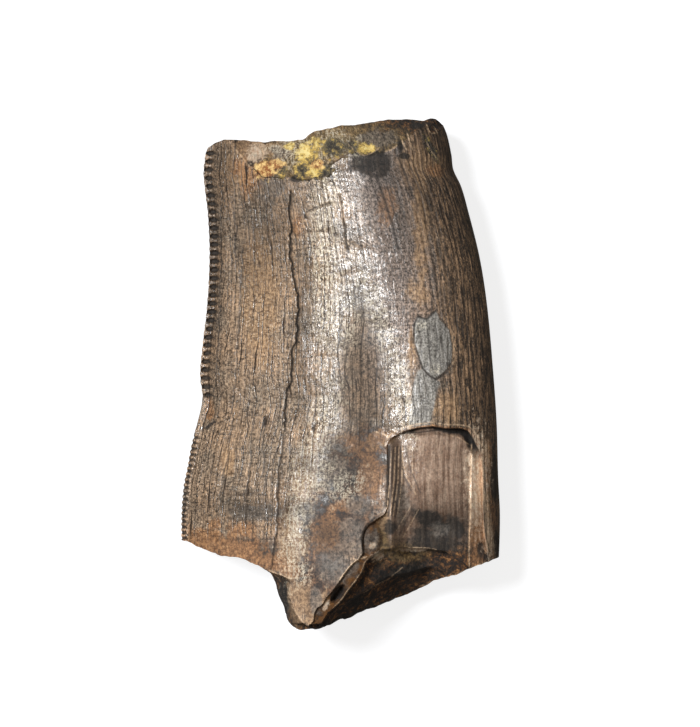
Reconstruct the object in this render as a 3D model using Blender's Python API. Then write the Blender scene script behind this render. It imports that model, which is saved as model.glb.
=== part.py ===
"""A broken length of a tyrannosaur tooth crown, lying on its flatter side.

Seen from above, +X points to the rounded front edge, +Y to the broken tip end and +Z up.
The saw edge runs along -X. Everything is in metres, with the origin on the ground under
the middle of the fragment.
"""
import math

import bpy
import bmesh
from mathutils import Vector

MM = 0.001

# Thickness of the crown, measured up from the ground at its two ends
BASE_STATION = -15.4 * MM
TIP_STATION = 15.4 * MM
RIDGE_HEIGHT_AT_BASE = 11.9 * MM
RIDGE_HEIGHT_AT_TIP = 9.1 * MM
EDGE_HEIGHT_AT_BASE = 4.6 * MM
EDGE_HEIGHT_AT_TIP = 3.6 * MM

# The crown blank runs past both breaks
BLANK_END = 17.5 * MM
BLANK_STATIONS = 34
POINTS_ON_TOP = 30
POINTS_BELOW = 22
SPREAD_START = 0.25             # share of a half turn left out, so that the points crowd at the round edge
SHARP_ANGLE = math.radians(35)  # edges that turn by more than this are shown sharp

# Plan of the two long edges in millimetres: (along the crown, across it)
SAW_EDGE = [(-17.5, -9.40), (-12.0, -9.52), (-8.8, -9.57), (-6.9, -9.46), (-5.5, -9.20), (-4.1, -8.93),
            (-2.7, -8.54), (-1.5, -8.30), (0.0, -8.44), (2.0, -8.27), (4.0, -8.04), (7.0, -7.88),
            (9.6, -7.98), (12.0, -8.24), (13.5, -8.12), (17.5, -8.10)]
ROUND_EDGE = [(-17.5, 9.20), (-12.0, 9.46), (-8.6, 9.57), (-6.0, 9.46), (-3.0, 9.38), (0.0, 9.18),
              (4.0, 8.82), (7.0, 8.36), (10.0, 7.62), (11.3, 7.24), (12.3, 6.78), (13.2, 6.66),
              (14.5, 6.36), (15.5, 5.90), (17.5, 4.9)]

# How each side of the section bulges between its edges: powers at the saw edge and at the round edge
TOP_BULGE = (0.80, 0.50)
UNDERSIDE_BULGE = (0.66, 0.45)
UNDERSIDE_DEPTH = 1.10          # share of the edge height; what would pass below the ground is flat

# The thin keel that carries the saw teeth
KEEL_WIDTH = 0.80 * MM
KEEL_HALF_TIP = 0.13 * MM
KEEL_HALF_ROOT = 0.46 * MM
KEEL_OUTSIDE_BODY = 0.4         # share of its width that stands clear of the rounded body
KEEL_REACH = 1.01 * KEEL_WIDTH  # how far in the section still follows the keel

# Saw teeth: first and last gap along the crown, and their spacing
SLOT_RUNS = [
    {"start": 13.1 * MM, "end": -1.4 * MM, "pitch": 0.500 * MM},
    {"start": -3.8 * MM, "end": -9.6 * MM, "pitch": 0.336 * MM},
]
SLOT_RADIUS = 0.25              # share of the pitch
SLOT_DEPTH = 0.45               # share of the pitch, in from the edge
SLOT_STRETCH = 2.4              # length of a gap across the edge over its width along the edge
SLOT_SIDES = 8
SLOT_HALF_HEIGHT = 1.5 * MM

# The breaks in plan, in millimetres: pairs of (upper edge, lower edge), from the saw edge across
TIP_BREAK = [((-9.8, 12.4), (-9.8, 12.4)),
             ((-8.2, 13.20), (-8.2, 13.20)),
             ((-7.9, 13.75), (-7.9, 13.75)),
             ((-7.4, 13.98), (-7.4, 13.98)),
             ((-6.5, 14.05), (-6.3, 14.15)),
             ((-5.6, 12.80), (-5.4, 14.20)),
             ((-4.7, 11.90), (-4.4, 14.02)),
             ((-3.0, 11.75), (-2.6, 14.00)),
             ((-2.0, 11.60), (-2.0, 14.02)),
             ((-1.5, 11.75), (-1.7, 14.62)),
             ((-0.2, 12.60), (0.0, 14.86)),
             ((0.9, 13.30), (1.2, 14.97)),
             ((2.5, 13.20), (2.8, 15.14)),
             ((3.9, 13.90), (4.0, 15.34)),
             ((4.6, 14.30), (4.9, 15.34)),
             ((5.5, 14.60), (5.5, 15.55)),
             ((6.3, 13.90), (6.3, 14.90)),
             ((9.8, 11.40), (9.8, 11.80))]
BASE_BREAK = [((-11.0, -9.70), (-11.0, -9.70)),
              ((-9.4, -10.02), (-9.4, -10.02)),
              ((-8.2, -10.55), (-8.2, -10.55)),
              ((-6.2, -11.02), (-6.2, -11.04)),
              ((-4.6, -11.65), (-4.6, -11.70)),
              ((-3.1, -12.25), (-4.0, -12.35)),
              ((-3.1, -13.10), (-3.6, -13.70)),
              ((-2.7, -14.20), (-3.1, -14.90)),
              ((-2.0, -14.95), (-2.3, -15.39)),
              ((-1.4, -14.10), (-0.9, -15.10)),
              ((-0.8, -13.30), (0.3, -14.68)),
              ((0.4, -11.80), (1.5, -14.26)),
              ((2.1, -10.60), (2.8, -13.70)),
              ((4.0, -10.30), (4.9, -12.80)),
              ((6.6, -10.70), (6.6, -12.10)),
              ((8.0, -11.30), (8.1, -11.55)),
              ((9.5, -10.95), (9.5, -10.98)),
              ((11.0, -10.2), (11.0, -10.2))]
TIP_BREAK_HEIGHTS = (0.0 * MM, 8.6 * MM)      # heights of the lower and the upper edge as given
BASE_BREAK_HEIGHTS = (0.0 * MM, 10.6 * MM)
CUT_FLOOR = -2.0 * MM
CUT_TOP = 14.0 * MM
CUT_REACH = 22.0 * MM
CUT_HALF_WIDTH = 11.0 * MM

# The spalled window in the enamel by the base: its plan in millimetres, and how it deepens
WINDOW = [(2.75, -4.4), (3.35, -3.65), (4.5, -3.25), (6.2, -3.15), (7.6, -3.4), (8.2, -4.2),
          (8.5, -5.0), (8.55, -12.5), (1.9, -12.5), (2.2, -9.6), (2.6, -7.0), (2.6, -5.6)]
WINDOW_DEPTH_AT_ARCH = 0.45 * MM
WINDOW_DEPTH_AT_BASE = 2.6 * MM
WINDOW_ARCH_STATION = -3.2 * MM
WINDOW_PRISM_FOOT = 4.0 * MM

ENAMEL_COLOUR = (0.120, 0.085, 0.062, 1.0)
ENAMEL_ROUGHNESS = 0.38


def clear_scene():
    for obj in list(bpy.data.objects):
        bpy.data.objects.remove(obj, do_unlink=True)


def new_collection(name):
    collection = bpy.data.collections.new(name)
    bpy.context.scene.collection.children.link(collection)
    return collection


def smooth_value(points, station):
    """Value at a station on a smooth curve through (station, value) points in rising order."""
    last = len(points) - 2
    i = 0
    while i < last and station > points[i + 1][0]:
        i += 1
    (y0, v0), (y1, v1) = points[i], points[i + 1]
    before = points[max(i - 1, 0)]
    after = points[min(i + 2, len(points) - 1)]
    span = y1 - y0
    slope0 = (v1 - before[1]) / (y1 - before[0])
    slope1 = (after[1] - v0) / (after[0] - y0)
    t = (station - y0) / span
    t = min(max(t, 0.0), 1.0)
    h00 = 2 * t ** 3 - 3 * t ** 2 + 1
    h10 = t ** 3 - 2 * t ** 2 + t
    h01 = 3 * t ** 2 - 2 * t ** 3
    h11 = t ** 3 - t ** 2
    return h00 * v0 + h10 * span * slope0 + h01 * v1 + h11 * span * slope1


def along(y, at_base, at_tip):
    """A measure that changes evenly from the base station to the tip station."""
    share = (y - BASE_STATION) / (TIP_STATION - BASE_STATION)
    return at_base + (at_tip - at_base) * share


def bulge(w, powers):
    """A one-humped curve, 0 at w = 0 and w = 1 and 1 at its crest."""
    a, b = powers
    crest = a / (a + b)
    peak = crest ** a * (1 - crest) ** b
    w = min(max(w, 0.0), 1.0)
    return w ** a * (1 - w) ** b / peak


def section(y):
    """Closed outline of the crown at a station, as (x, z) points in metres."""
    left = smooth_value(SAW_EDGE, y / MM) * MM
    right = smooth_value(ROUND_EDGE, y / MM) * MM
    edge = along(y, EDGE_HEIGHT_AT_BASE, EDGE_HEIGHT_AT_TIP)
    ridge = along(y, RIDGE_HEIGHT_AT_BASE, RIDGE_HEIGHT_AT_TIP)
    body_left = left + KEEL_OUTSIDE_BODY * KEEL_WIDTH
    body = right - body_left

    def half_keel(x):
        share = min((x - left) / KEEL_WIDTH, 1.0)
        return KEEL_HALF_TIP + (KEEL_HALF_ROOT - KEEL_HALF_TIP) * share

    def top(x):
        rise = (ridge - edge) * bulge((x - body_left) / body, TOP_BULGE)
        near = half_keel(x) if x < left + KEEL_REACH else 0.0
        return edge + max(rise, near)

    def below(x):
        drop = UNDERSIDE_DEPTH * edge * bulge((x - body_left) / body, UNDERSIDE_BULGE)
        near = half_keel(x) if x < left + KEEL_REACH else 0.0
        return max(edge - max(drop, near), 0.0)

    def spread(count):
        inner_left = left + KEEL_WIDTH
        start = (1 - math.cos(math.pi * SPREAD_START)) / 2
        xs = [left, left + KEEL_WIDTH / 2]
        for i in range(count - 1):
            turn = SPREAD_START + (1 - SPREAD_START) * i / (count - 1)
            share = (1 - math.cos(math.pi * turn)) / 2
            xs.append(inner_left + (right - inner_left) * (share - start) / (1 - start))
        return xs

    ring = [(x, top(x)) for x in spread(POINTS_ON_TOP)]
    ring.append((right, edge))
    ring.extend((x, below(x)) for x in reversed(spread(POINTS_BELOW)))
    return ring


def mesh_object(name, rings, collection):
    """Skins a row of rings that all have the same number of points, and caps both ends."""
    bm = bmesh.new()
    rows = [[bm.verts.new(point) for point in ring] for ring in rings]
    for near, far in zip(rows, rows[1:]):
        for i in range(len(near)):
            j = (i + 1) % len(near)
            bm.faces.new((near[i], near[j], far[j], far[i]))
    bm.faces.new(list(reversed(rows[0])))
    bm.faces.new(rows[-1])
    bmesh.ops.recalc_face_normals(bm, faces=bm.faces)
    mesh = bpy.data.meshes.new(name)
    bm.to_mesh(mesh)
    bm.free()
    obj = bpy.data.objects.new(name, mesh)
    collection.objects.link(obj)
    return obj


def mark_as_cutter(obj):
    obj.display_type = "WIRE"
    obj.hide_render = True


def cut(obj, cutter, operation="DIFFERENCE"):
    boolean = obj.modifiers.new(cutter.name, "BOOLEAN")
    boolean.operation = operation
    boolean.solver = "EXACT"
    boolean.object = cutter


def crown_blank(name, collection, sink=0.0, sink_at_base=0.0):
    """The whole crown, or a copy whose top lies lower by sink at the arch and more towards the base."""
    rings = []
    for i in range(BLANK_STATIONS):
        y = BLANK_END - 2 * BLANK_END * i / (BLANK_STATIONS - 1)
        towards_base = max((WINDOW_ARCH_STATION - y) / (WINDOW_ARCH_STATION - BASE_STATION), 0.0)
        lower = sink + (sink_at_base - sink) * towards_base if sink else 0.0
        rings.append([(x, y, z - lower) for x, z in section(y)])
    return mesh_object(name, rings, collection)


def break_cutter(name, pairs, heights, side, collection):
    """Everything beyond a broken end: its near face runs from each lower edge point to its upper one."""
    low_height, high_height = heights
    rings = []
    for i, (upper, lower) in enumerate(pairs):
        high = Vector((upper[0] * MM, upper[1] * MM, high_height))
        low = Vector((lower[0] * MM, lower[1] * MM, low_height))
        slope = (high - low) / (high_height - low_height)
        foot = low + slope * (CUT_FLOOR - low_height)
        crest = high + slope * (CUT_TOP - high_height)
        far_x = CUT_HALF_WIDTH * (2 * i / (len(pairs) - 1) - 1)
        rings.append([foot, crest, (far_x, side * CUT_REACH, CUT_TOP), (far_x, side * CUT_REACH, CUT_FLOOR)])
    cutter = mesh_object(name, rings, collection)
    mark_as_cutter(cutter)
    return cutter


def window_cutter(collection):
    """The spalled window: an upright prism with the sunken crown taken out of it."""
    rings = [[(x * MM, y * MM, z) for x, y in WINDOW] for z in (WINDOW_PRISM_FOOT, CUT_TOP)]
    prism = mesh_object("window_prism", rings, collection)
    core = crown_blank("window_core", collection, WINDOW_DEPTH_AT_ARCH, WINDOW_DEPTH_AT_BASE)
    mark_as_cutter(core)
    cut(prism, core)
    mark_as_cutter(prism)
    return prism


def saw_slots(collection):
    """Small upright rods that notch the keel between its saw teeth."""
    bm = bmesh.new()
    for run in SLOT_RUNS:
        count = int(round((run["start"] - run["end"]) / run["pitch"])) + 1
        radius = run["pitch"] * SLOT_RADIUS
        for i in range(count):
            y = run["start"] - i * run["pitch"]
            x = smooth_value(SAW_EDGE, y / MM) * MM + run["pitch"] * SLOT_DEPTH - radius
            z = along(y, EDGE_HEIGHT_AT_BASE, EDGE_HEIGHT_AT_TIP)
            made = bmesh.ops.create_cone(bm, cap_ends=True, segments=SLOT_SIDES, radius1=radius,
                                         radius2=radius, depth=2 * SLOT_HALF_HEIGHT)
            bmesh.ops.scale(bm, vec=(SLOT_STRETCH, 1.0, 1.0), verts=made["verts"])
            bmesh.ops.translate(bm, vec=(x - radius * SLOT_STRETCH / 2, y, z), verts=made["verts"])
    mesh = bpy.data.meshes.new("saw_slots")
    bm.to_mesh(mesh)
    bm.free()
    obj = bpy.data.objects.new("saw_slots", mesh)
    collection.objects.link(obj)
    mark_as_cutter(obj)
    return obj


def enamel_material():
    material = bpy.data.materials.new("fossil_enamel")
    material.use_nodes = True
    shader = material.node_tree.nodes["Principled BSDF"]
    shader.inputs["Base Color"].default_value = ENAMEL_COLOUR
    shader.inputs["Roughness"].default_value = ENAMEL_ROUGHNESS
    shader.inputs["Metallic"].default_value = 0.0
    return material


def build_tooth():
    parts = new_collection("tyrannosaur_tooth")
    cutters = new_collection("cutters")
    tooth = crown_blank("tooth_crown", parts)
    tooth.data.materials.append(enamel_material())
    cut(tooth, break_cutter("tip_break", TIP_BREAK, TIP_BREAK_HEIGHTS, 1, cutters))
    cut(tooth, break_cutter("base_break", BASE_BREAK, BASE_BREAK_HEIGHTS, -1, cutters))
    cut(tooth, window_cutter(cutters))
    cut(tooth, saw_slots(cutters))
    tooth.data.shade_smooth()
    tooth.data.set_sharp_from_angle(angle=SHARP_ANGLE)


clear_scene()
build_tooth()
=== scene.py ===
"""The looks of a broken length of tyrannosaur tooth crown that lies on its flatter side.

The crown is one closed mesh sewn from three sheets: the upper side with all that the photograph
shows, the underside, and the band of broken faces and saw edge between them. Shapes are in
millimetres, or in pixels of the 700 x 727 photograph where a feature was measured there.
"""

import math

import bpy
import numpy as np
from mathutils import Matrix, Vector, kdtree
from mathutils.geometry import delaunay_2d_cdt


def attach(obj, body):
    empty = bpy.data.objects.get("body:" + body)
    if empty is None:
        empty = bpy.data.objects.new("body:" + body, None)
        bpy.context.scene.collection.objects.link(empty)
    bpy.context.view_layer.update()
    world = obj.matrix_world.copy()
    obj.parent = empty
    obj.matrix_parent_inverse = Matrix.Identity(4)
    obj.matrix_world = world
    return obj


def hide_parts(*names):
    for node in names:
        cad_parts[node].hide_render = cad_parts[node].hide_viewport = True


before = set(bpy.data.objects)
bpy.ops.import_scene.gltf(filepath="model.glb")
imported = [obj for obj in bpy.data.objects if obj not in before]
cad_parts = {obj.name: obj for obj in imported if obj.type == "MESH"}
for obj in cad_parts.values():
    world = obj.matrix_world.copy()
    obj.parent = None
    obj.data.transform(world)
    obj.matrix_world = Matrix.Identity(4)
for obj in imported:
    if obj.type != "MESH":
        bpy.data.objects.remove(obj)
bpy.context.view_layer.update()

MM = 0.001

# How the photograph maps to the ground plane
PIXEL = 0.060                    # millimetres
CENTRE_PX = (340.5, 374.5)       # shows x = y = 0
PHOTO_LONG_SIDE = 727
PHOTO_MIDDLE_PX = (350.0, 363.5)

# The crown, as in the CAD part: millimetres, (along, across) for the two long edges
BASE_STATION = -15.4
TIP_STATION = 15.4
RIDGE_HEIGHT = (11.9, 9.1)       # at the base station and at the tip station
EDGE_HEIGHT = (4.6, 3.6)
SAW_EDGE = [(-17.5, -9.40), (-12.0, -9.52), (-8.8, -9.57), (-6.9, -9.46), (-5.5, -9.20), (-4.1, -8.93),
            (-2.7, -8.54), (-1.5, -8.30), (0.0, -8.44), (2.0, -8.27), (4.0, -8.04), (7.0, -7.88),
            (9.6, -7.98), (12.0, -8.24), (13.5, -8.12), (17.5, -8.10)]
ROUND_EDGE = [(-17.5, 9.20), (-12.0, 9.46), (-8.6, 9.57), (-6.0, 9.46), (-3.0, 9.38), (0.0, 9.18),
              (4.0, 8.82), (7.0, 8.36), (10.0, 7.62), (11.3, 7.24), (12.3, 6.78), (13.2, 6.66),
              (14.5, 6.36), (15.5, 5.90), (17.5, 4.9)]
TOP_BULGE = (0.80, 0.50)
UNDERSIDE_BULGE = (0.66, 0.45)
UNDERSIDE_DEPTH = 1.10
KEEL_WIDTH = 0.80
KEEL_HALF = (0.13, 0.46)         # half thickness at the saw edge and at the keel's root
BODY_START = 0.4                 # share of the keel's width

# Saw teeth: first and last gap, spacing, each gap's middle from the edge, half size, depth and notch
SAW_RUNS = [
    {"first": 13.25, "last": -1.25, "pitch": 0.500, "middle": 0.34, "reach": 0.30, "rise": 0.165,
     "depth": 0.32, "notch": 0.035, "groove": 0.50},
    {"first": -3.8, "last": -9.7, "pitch": 0.336, "middle": 0.17, "reach": 0.20, "rise": 0.11,
     "depth": 0.15, "notch": 0.07, "groove": 0.20},
]

# Mesh spacing in millimetres
SPACING = 0.100
SAW_SPACING = 0.062
SAW_ZONE = 1.0
BAND_SPACING = 0.17
UNDERSIDE_SPACING = 0.30
RIM_SPACING = 0.10
SEW_DISTANCE = 1e-4              # places nearer than this are one
SHARP_ANGLE = 55.0               # degrees between two faces that show an edge

# The grain of the upper side: ribs with furrows between them
RIB_PITCH = 0.43
RIB_SEED = 11

# How far the broken faces lean in under the upper side, at the tip and at the base
LEAN_IN = (0.75, 1.1)

# Where the grain of the upper side, the underside and the band lies, so that they differ
GRAIN_LAYERS = (0.0, 40.0, 80.0)

# Corner and size of each of the three sheets on the square that the finish is baked to
BAKE_PLACES = (((0.005, 0.005), (0.62, 0.99)),
               ((0.635, 0.005), (0.36, 0.60)),
               ((0.635, 0.615), (0.36, 0.38)))

# Outline of the upper side at the two breaks, in pixels, from the saw edge across
TIP_RIM_PX = [(205, 152.8), (208, 147), (214, 143), (224, 139.5), (244, 139.5), (264, 143), (284, 141),
              (304, 141), (309, 135), (314, 131.5), (324, 129.5), (344, 126), (364, 124), (384, 120.5),
              (404, 119.5), (424, 120.5), (430, 118.5), (436, 119), (441, 125)]
BASE_RIM_PX = [(182, 540), (190, 543.5), (204, 548.5), (224, 554.5), (244, 558.5), (256, 564), (264, 568.5),
               (271, 574), (275, 583), (278, 595), (283, 606), (286.5, 616), (290, 624.5), (296, 628.5),
               (304, 629.5), (314, 628), (324, 625), (344, 618), (364, 611), (384, 603), (404, 595.5),
               (424, 586.5), (434, 581), (444, 578), (454, 574), (464, 570), (484, 563.5), (496, 557)]

# Everything with its enamel on, in pixels; the polygon runs past the sides of the crown
ENAMEL_PX = [(150, 560), (230, 590), (262, 567.5), (270, 571), (282, 575), (290, 578.6), (289.5, 586),
             (288, 592), (291, 601), (296, 612), (301, 620), (308, 625), (314, 620), (314.6, 612.5),
             (317, 607), (323, 603), (326, 597), (332.5, 590), (340.5, 579), (346, 570.5), (353, 562.5),
             (359, 558), (363, 552), (362, 541), (364, 530), (369, 524), (377, 518), (384, 514), (388, 506),
             (389, 490), (388, 470), (387, 452), (387, 445), (390, 439.5), (394, 436), (404, 431),
             (415, 428), (432, 426), (444, 428), (460, 428), (467, 430.5), (472, 437), (476, 445),
             (480, 453), (482, 470), (482.5, 500), (483, 520), (486, 545), (490, 575), (560, 575),
             (560, 124), (446, 127), (438, 132), (431, 134), (428, 128), (422, 128), (414, 133),
             (408, 139), (402, 144), (395, 148), (382, 154), (372, 157), (362, 155), (352, 151.5),
             (345, 157), (335, 163), (322, 173), (310, 181), (297, 180), (290, 178), (265, 178),
             (262, 177), (255, 170), (248, 165), (241, 158), (236, 148), (234, 138), (232, 120), (150, 120)]
WINDOW_LIP_PX = ENAMEL_PX[28:46]

# Long cracks are drawn jagged
CRACK_STEP = 3.5                 # pixels between the corners of a crack
CRACK_STRAY = 1.3                # pixels that a corner may stand off

# Each crack in pixels, with its half width in pixels and its depth in millimetres
CRACKS = [
    ([(291, 192), (289, 208), (291, 226), (291, 257), (294, 278), (297.5, 288), (299, 302), (298, 317),
      (297, 341), (293, 348), (292.6, 366), (291, 385), (288, 389.5), (287, 406), (285, 426)], 1.3, 0.17),
    ([(285, 426), (283, 449), (280, 457), (278.5, 482), (278, 507), (277, 530), (274, 552),
      (272, 568)], 0.9, 0.08),
    ([(265, 420), (263, 450), (266, 480), (263, 505)], 0.7, 0.04),
    ([(254, 405), (252, 440), (250, 470), (245, 500)], 0.7, 0.04),
    ([(236, 146), (233, 165), (234.5, 200), (236, 230), (236, 252)], 0.8, 0.06),
    ([(243, 248), (242, 290), (239, 330), (236, 380), (232, 430), (225, 470), (219, 510)], 0.8, 0.06),
    ([(339, 195), (343, 217), (344.5, 233), (348, 251)], 0.65, 0.05),
    ([(306, 213), (318, 207), (332, 203)], 0.7, 0.05),
    ([(222, 190), (220.5, 230), (222, 262), (220, 300), (218.5, 345), (215, 392)], 0.8, 0.05),
]

# The chipped place between the two runs of saw teeth, and the slanted nick below it
CHIP_PX = (206, 410, 9, 14)
NICK_PX = [(207, 427.5), (215, 421.5)]

# The grey raised plate on the right, and the smooth grey strip below it
PLATE_PX = [(413, 326), (417, 317), (423, 318), (426, 319), (435.5, 311), (440, 320), (444.5, 325),
            (449, 330), (452, 349), (451, 362), (445, 371), (435.5, 379), (428, 375), (422, 368),
            (418.6, 357), (414, 343)]
STRIP_PX = [(417, 371), (412, 389), (410, 407), (408, 426), (430, 425), (432, 412), (434.6, 403), (436, 392),
            (440, 383), (435.5, 379), (428, 375), (422, 368)]

# The chip by the window's lower corner
BEAD_CENTRE_PX = (373.0, 538.0)
BEAD_RADII_PX = (9.5, 14.0)

# The hollow low in the window: centre x, centre y, radius x, radius y
SCOOP_PX = (436, 528, 26.0, 15.0)

# Places in the window and the breaks, in pixels; a pair runs from none of a thing to all of it
TIP_ABOVE_PX = 300               # rows above this belong to the break at the tip
WINDOW_TOP_PX = 430
WINDOW_LENGTH_PX = 120.0
WINDOW_LEFT_PX = (382, 392)
WINDOW_FOOT_PX = (562, 540)
WALL_START_PX = 387.5
WALL_WIDTH_PX = [(430, 8.0), (450, 15.0), (520, 21.0)]
LIP_GAP_PX = (9.0, 4.0)          # from the lip
LIP_GAP_LEFT_PX = (402, 424)
LIP_GAP_FOOT_PX = (470, 440)
STEP_PX = (469.0, 470.4)         # a low step along the right of the window
STEP_LEAN = 0.02
STEP_ROW_PX = 520                # where the leaning step stands at its own place
TONGUE_LEFT_PX = (300, 288)
RIGHT_RIM_PX = (470, 484)
RIGHT_FOOT_PX = (545, 575)
FLOOR_LEFT_PX = (384, 389)       # the window's floor, as it is coloured
FLOOR_FOOT_PX = (556, 530)
FLOOR_TOP_PX = (420, 425)
GOLD_LEFT_PX = (300, 312)        # the golden part of the base break
GOLD_RIGHT_PX = (386, 372)
GOLD_TOP_PX = 500
LIP_SHADOW_WIDENS_PX = (425, 462)      # the painted shadow under the window's lip
LIP_SHADOW_LEFT_PX = (396, 412)
LIP_SHADOW_FOOT_PX = (462, 445)

# Crust, ledge and hole on the broken bevel at the tip
TIP_CRUST_PX = (314, 160, 26, 24)
TIP_LEDGE_PX = (269, 168, 15, 11)
TIP_HOLE_PX = (251, 164.5, 6, 5)

# Ledges of the base break, each from the tongue to the right, in pixels, and how far each drops
BASE_LEDGES = [
    ([(322, 622), (328, 612), (334, 607), (341, 600), (348.6, 589), (356, 580), (362, 571), (364.6, 562.5),
      (369, 557), (382, 549), (402, 547), (426, 548), (446, 551), (458, 560), (468, 566), (476, 575)], 1.0),
    ([(318, 640), (332, 612), (352, 598), (371, 586), (390, 576), (408, 572), (430, 566), (446, 572),
      (450, 590)], 0.9),
]
BLACK_HOLE_PX = [(333, 592), (338, 584), (345, 583), (345, 590), (339, 598), (334, 602), (330, 599)]
TAN_FLAKE_PX = [(239, 150), (246, 146.5), (256, 146), (261.5, 149.5), (263, 156), (261, 163), (256, 165),
                (249, 162), (244, 157)]


def to_px(x, y):
    return CENTRE_PX[0] + x / PIXEL, CENTRE_PX[1] - y / PIXEL


def to_mm(px, py):
    return (px - CENTRE_PX[0]) * PIXEL, (CENTRE_PX[1] - py) * PIXEL


def from_px(points):
    pairs = np.asarray(points, dtype=float)
    return np.stack(to_mm(pairs[:, 0], pairs[:, 1]), axis=1)


def smooth_step(low, high, value):
    t = np.clip((value - low) / (high - low), 0.0, 1.0)
    return t * t * (3.0 - 2.0 * t)


def smooth_value(points, station):
    """Values at stations on a smooth curve through (station, value) points in rising order."""
    at = np.array([p[0] for p in points])
    value = np.array([p[1] for p in points])
    last = len(points) - 1
    i = np.clip(np.searchsorted(at, station) - 1, 0, last - 1)
    before = np.maximum(i - 1, 0)
    after = np.minimum(i + 2, last)
    span = at[i + 1] - at[i]
    slope0 = (value[i + 1] - value[before]) / (at[i + 1] - at[before])
    slope1 = (value[after] - value[i]) / (at[after] - at[i])
    t = np.clip((station - at[i]) / span, 0.0, 1.0)
    h00 = 2 * t ** 3 - 3 * t ** 2 + 1
    h10 = t ** 3 - 2 * t ** 2 + t
    h01 = 3 * t ** 2 - 2 * t ** 3
    h11 = t ** 3 - t ** 2
    return h00 * value[i] + h10 * span * slope0 + h01 * value[i + 1] + h11 * span * slope1


def along(y, ends):
    share = (y - BASE_STATION) / (TIP_STATION - BASE_STATION)
    return ends[0] + (ends[1] - ends[0]) * share


def bulge(w, powers):
    """A one-humped curve, 0 at w = 0 and w = 1 and 1 at its crest."""
    a, b = powers
    crest = a / (a + b)
    peak = crest ** a * (1 - crest) ** b
    w = np.clip(w, 0.0, 1.0)
    return w ** a * (1 - w) ** b / peak


# Smooth noise from a fixed scramble of whole numbers

def scramble(ix, iy, seed):
    mixed = (ix.astype(np.int64) * 73856093) ^ (iy.astype(np.int64) * 19349663) ^ (seed * 83492791)
    mixed = (mixed ^ (mixed >> 13)) * 1274126177
    mixed = (mixed ^ (mixed >> 16)) & 0xFFFFFF
    return mixed / float(0x7FFFFF) - 1.0


def noise(x, y, size, seed):
    """Smooth random values between -1 and 1, in bumps about size across; size may be a pair."""
    size_x, size_y = size if isinstance(size, tuple) else (size, size)
    gx, gy = x / size_x, y / size_y
    ix, iy = np.floor(gx), np.floor(gy)
    fx, fy = gx - ix, gy - iy
    fx = fx * fx * fx * (fx * (fx * 6 - 15) + 10)
    fy = fy * fy * fy * (fy * (fy * 6 - 15) + 10)
    low = scramble(ix, iy, seed) * (1 - fx) + scramble(ix + 1, iy, seed) * fx
    high = scramble(ix, iy + 1, seed) * (1 - fx) + scramble(ix + 1, iy + 1, seed) * fx
    return low * (1 - fy) + high * fy


def rough(x, y, size, seed, octaves=4):
    """Noise on several scales at once, each half as wide and half as tall as the one before."""
    size_x, size_y = size if isinstance(size, tuple) else (size, size)
    total = np.zeros_like(x)
    for k in range(octaves):
        total += noise(x, y, (size_x / 2 ** k, size_y / 2 ** k), seed + k) / 2 ** k
    return total


# Distances in the photograph's plane

def jagged(line):
    """The same line with a point every few pixels, each strayed a little to one side."""
    points = [line[0]]
    for (x0, y0), (x1, y1) in zip(line, line[1:]):
        count = max(1, round(math.hypot(x1 - x0, y1 - y0) / CRACK_STEP))
        for i in range(1, count + 1):
            y = y0 + (y1 - y0) * i / count
            stray = CRACK_STRAY * float(noise(np.float64(y), np.float64(0.0), 1.3 * CRACK_STEP, 205))
            points.append((x0 + (x1 - x0) * i / count + stray, y))
    return points


def jagged_cracks():
    return [(jagged(line), half_width, depth) for line, half_width, depth in CRACKS]


def line_distance(px, py, line):
    best = np.full(px.shape, np.inf)
    for (x0, y0), (x1, y1) in zip(line, line[1:]):
        dx, dy = x1 - x0, y1 - y0
        t = np.clip(((px - x0) * dx + (py - y0) * dy) / (dx * dx + dy * dy), 0.0, 1.0)
        best = np.minimum(best, (px - x0 - t * dx) ** 2 + (py - y0 - t * dy) ** 2)
    return np.sqrt(best)


def inside(px, py, polygon):
    result = np.zeros(px.shape, dtype=bool)
    for (x0, y0), (x1, y1) in zip(polygon, polygon[1:] + polygon[:1]):
        if y0 == y1:
            continue
        crosses = (y0 > py) != (y1 > py)
        result ^= crosses & (px < (x1 - x0) * (py - y0) / (y1 - y0) + x0)
    return result


def depth_in(px, py, polygon):
    """Distance from a polygon's rim in pixels, positive inside it."""
    distance = line_distance(px, py, polygon + polygon[:1])
    return np.where(inside(px, py, polygon), distance, -distance)


def side_of(px, py, line):
    """Distance from a line that runs from left to right in the photograph, positive below it."""
    xs = [p[0] for p in line]
    ys = [p[1] for p in line]
    below = py > np.interp(px, xs, ys)
    return np.where(below, 1.0, -1.0) * line_distance(px, py, line)


def in_ellipse(px, py, spot):
    """1 in the middle of an ellipse, 0.5 on its rim, 0 well outside.

    A spot is centre x, centre y, radius x, radius y and, for a slanted one, the turn in degrees.
    """
    cx, cy, rx, ry = spot[:4]
    turn = math.radians(spot[4]) if len(spot) > 4 else 0.0
    across = (px - cx) * math.cos(turn) + (py - cy) * math.sin(turn)
    down = (py - cy) * math.cos(turn) - (px - cx) * math.sin(turn)
    return np.clip(1.0 - 0.5 * np.hypot(across / rx, down / ry), 0.0, 1.0)


# The plain crown

def crown_edges(y):
    return smooth_value(SAW_EDGE, y), smooth_value(ROUND_EDGE, y)


def keel_half(x, left):
    share = np.clip((x - left) / KEEL_WIDTH, 0.0, 1.0)
    half = KEEL_HALF[0] + (KEEL_HALF[1] - KEEL_HALF[0]) * share
    return half * smooth_step(2.2, 1.0, (x - left) / KEEL_WIDTH)


def body_share(x, y):
    left, right = crown_edges(y)
    start = left + BODY_START * KEEL_WIDTH
    return (x - start) / (right - start)


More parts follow.
